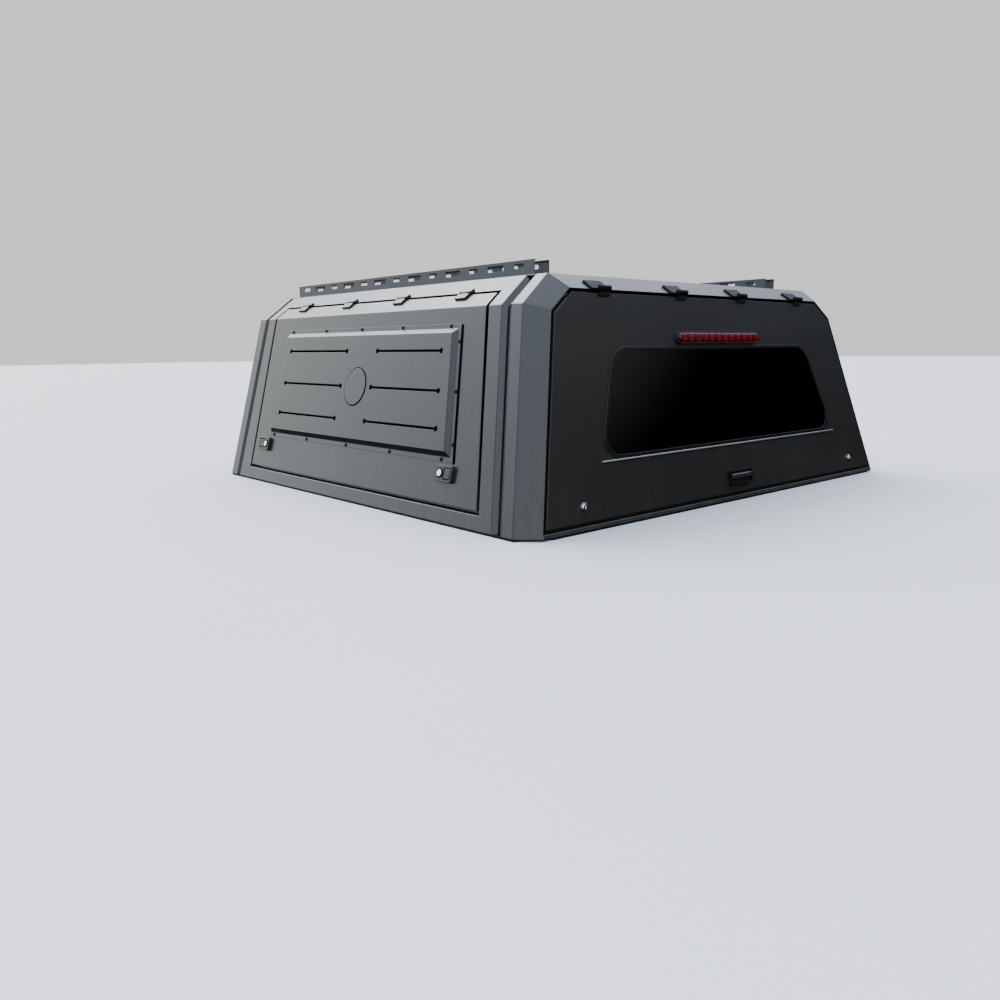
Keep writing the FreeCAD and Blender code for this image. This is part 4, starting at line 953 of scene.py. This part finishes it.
class CANOPY_OT_pan_screws(bpy.types.Operator):
    """Put domed cross-head screws along the flanges of both door pans"""
    bl_idname = "canopy.pan_screws"
    bl_label = "Pan screws"

    def execute(self, context):
        sizes = context.scene.canopy_sizes
        screw = screw_head(sizes.screw_radius, sizes.screw_rise)
        spots = [(ahead, TOP_SCREW_HEIGHT) for ahead in TOP_SCREWS]
        spots += [(ahead, BOTTOM_SCREW_HEIGHT) for ahead in BOTTOM_SCREWS] + REAR_SCREWS
        on_flange = Matrix.Translation((0, 0, FLANGE_RISE))
        for name, side in SIDES.items():
            places = [side_frame(side, REAR_EDGE + ahead, z) @ on_flange for ahead, z in spots]
            add_piece(name + "_pan_screws", screw, places, matt_coat(),
                      name + "_door")
        return {"FINISHED"}


class CANOPY_OT_brake_lamp(bpy.types.Operator):
    """Build the brake lamp's row of bright bowls under its red lens"""
    bl_idname = "canopy.brake_lamp"
    bl_label = "Brake lamp"

    def execute(self, context):
        fold_nodes(["brake_lamp_base"], HINGE_FOLD, casting_coat())
        places = [hatch_frame(LAMP_HEIGHT)]
        cells = context.scene.canopy_sizes.lamp_cells
        bowls = lamp_bowls(cells, LENS_HALF - BOWL_MARGIN, LENS_WIDTH - BOWL_GAP,
                           LENS_FOOT + BOWL_LIFT, BOWL_DEPTH)
        reflector = metal("lamp_reflector", REFLECTOR, roughness=0.12)
        add_piece("brake_lamp_bowls", bowls, places, reflector, "hatch")
        cover = lamp_lens(LENS_HALF, LENS_WIDTH, LENS_FOOT, LENS_TOP)
        lens = add_piece("brake_lamp_cover", cover, places, lens_plastic(), "hatch")
        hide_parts("brake_lamp_lens")
        return {"FINISHED"}


class CANOPY_OT_stage(bpy.types.Operator):
    """Set up the floor, the soft lights, the background and the camera"""
    bl_idname = "canopy.stage"
    bl_label = "Stage"

    def execute(self, context):
        corners = np.array([[-1.0, -1.0, 0.0], [1.0, -1.0, 0.0], [1.0, 1.0, 0.0],
                            [-1.0, 1.0, 0.0]]) * FLOOR_REACH
        floor = mesh_from_arrays("studio_floor", corners, np.array([[0, 1, 2, 3]]), False)
        floor.data.materials.append(floor_paint())
        floor.visible_diffuse = floor.visible_glossy = False
        add_background(context.scene)
        add_camera(context.scene)
        return {"FINISHED"}


def add_background(scene):
    """World that shows a pale backdrop and lights the canopy like large soft panels.

    Each panel is a colour times a smooth step, between two cosines, of the light's direction
    against the panel's middle, and all but the light from below fade out under the horizon. The
    two in front are darkened low down ahead of the canopy, where a cab would stand.
    """
    studio = scene.canopy_studio
    world = bpy.data.worlds.new("studio")
    scene.world = world
    world.use_nodes = True
    world.node_tree.nodes.clear()
    nodes = Nodes(world.node_tree)
    direction = nodes.add("ShaderNodeTexCoord").outputs["Generated"]
    height = nodes.add("ShaderNodeSeparateXYZ", {"Vector": direction}).outputs["Z"]

    def step(value, low, high):
        return nodes.add("ShaderNodeMapRange", {"Value": value, "From Min": low, "From Max": high},
                         interpolation_type="SMOOTHSTEP").outputs[0]

    def disc(middle, low, high):
        toward = nodes.add("ShaderNodeVectorMath", {0: direction, 1: Vector(middle).normalized()},
                           operation="DOT_PRODUCT").outputs["Value"]
        return step(toward, low, high)

    above = step(height, HORIZON_START, HORIZON_FULL)
    under = nodes.math("MULTIPLY", nodes.math("SUBTRACT", 1.0, above), studio.below_light)
    cab = nodes.math("MULTIPLY", disc(CAB_MIDDLE, CAB_START, CAB_FULL), CAB_SHADE)
    over_cab = nodes.math("MULTIPLY", above, nodes.math("SUBTRACT", 1.0, cab))
    total = nodes.scaled(BELOW_COLOUR, under)
    for light, colour, middle, low, high in PANELS:
        share = over_cab if light in BEHIND_CAB else above
        level = nodes.math("MULTIPLY", disc(middle, low, high), share)
        panel = nodes.scaled(colour, nodes.math("MULTIPLY", level, getattr(studio, light)))
        total = nodes.add("ShaderNodeVectorMath", {0: total, 1: panel}).outputs[0]
    lit = nodes.add("ShaderNodeBackground", {"Color": total, "Strength": 1.0}).outputs[0]
    seen = nodes.add("ShaderNodeBackground", {"Color": (*studio.backdrop, 1.0), "Strength": 1.0})
    path = nodes.add("ShaderNodeLightPath").outputs["Is Camera Ray"]
    both = nodes.add("ShaderNodeMixShader", {0: path, 1: lit, 2: seen.outputs[0]})
    nodes.add("ShaderNodeOutputWorld", {"Surface": both.outputs[0]})


def add_camera(scene):
    """Camera at the photograph's place, turned by its heading, its dip and its small roll."""
    level = Vector((math.sin(CAMERA_HEADING), math.cos(CAMERA_HEADING), 0))
    ahead = level * math.cos(CAMERA_DIP) + Vector((0, 0, math.sin(CAMERA_DIP)))
    right = Vector((math.cos(CAMERA_HEADING), -math.sin(CAMERA_HEADING), 0))
    up = right.cross(ahead)
    rolled = right * math.cos(CAMERA_ROLL) + up * math.sin(CAMERA_ROLL)
    data = bpy.data.cameras.new("photo_view")
    data.sensor_width = SENSOR_WIDTH
    data.lens = scene.canopy_studio.focal_length
    data.shift_x = CAMERA_SHIFT_X
    data.shift_y = CAMERA_SHIFT_Y
    camera = bpy.data.objects.new("photo_view", data)
    scene.collection.objects.link(camera)
    camera.matrix_world = placement(Vector(CAMERA_PLACE), rolled, (-ahead).cross(rolled), -ahead)
    scene.camera = camera


class CANOPY_PT_panel(bpy.types.Panel):
    """Settings and steps of the canopy's looks"""
    bl_idname = "CANOPY_PT_panel"
    bl_label = "Pickup canopy"
    bl_space_type = "VIEW_3D"
    bl_region_type = "UI"
    bl_category = "Canopy"

    def draw(self, context):
        for setting in SETTINGS:
            group = getattr(context.scene, setting)
            column = self.layout.column()
            for name in group.bl_rna.properties.keys():
                if name not in ("rna_type", "name"):
                    column.prop(group, name)
        for step in STEPS:
            self.layout.operator(step.bl_idname)


STEPS = [CANOPY_OT_sheets, CANOPY_OT_pans, CANOPY_OT_roof_rails, CANOPY_OT_hinges,
         CANOPY_OT_latches, CANOPY_OT_windows, CANOPY_OT_seals, CANOPY_OT_pan_trim,
         CANOPY_OT_pan_screws, CANOPY_OT_brake_lamp, CANOPY_OT_stage]
SETTINGS = {"canopy_paint": CanopyPaint, "canopy_sizes": CanopySizes,
            "canopy_studio": CanopyStudio}


def register():
    """Registers the settings, the steps and the panel."""
    for name, group in SETTINGS.items():
        bpy.utils.register_class(group)
        setattr(bpy.types.Scene, name, PointerProperty(type=group))
    for step in STEPS:
        bpy.utils.register_class(step)
    bpy.utils.register_class(CANOPY_PT_panel)


def unregister():
    """Removes what register added."""
    bpy.utils.unregister_class(CANOPY_PT_panel)
    for step in reversed(STEPS):
        bpy.utils.unregister_class(step)
    for name, group in SETTINGS.items():
        delattr(bpy.types.Scene, name)
        bpy.utils.unregister_class(group)


def main():
    """Registers the add-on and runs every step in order."""
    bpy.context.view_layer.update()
    register()
    for step in STEPS:
        area, name = step.bl_idname.split(".")
        getattr(getattr(bpy.ops, area), name)()


if __name__ == "__main__":
    main()
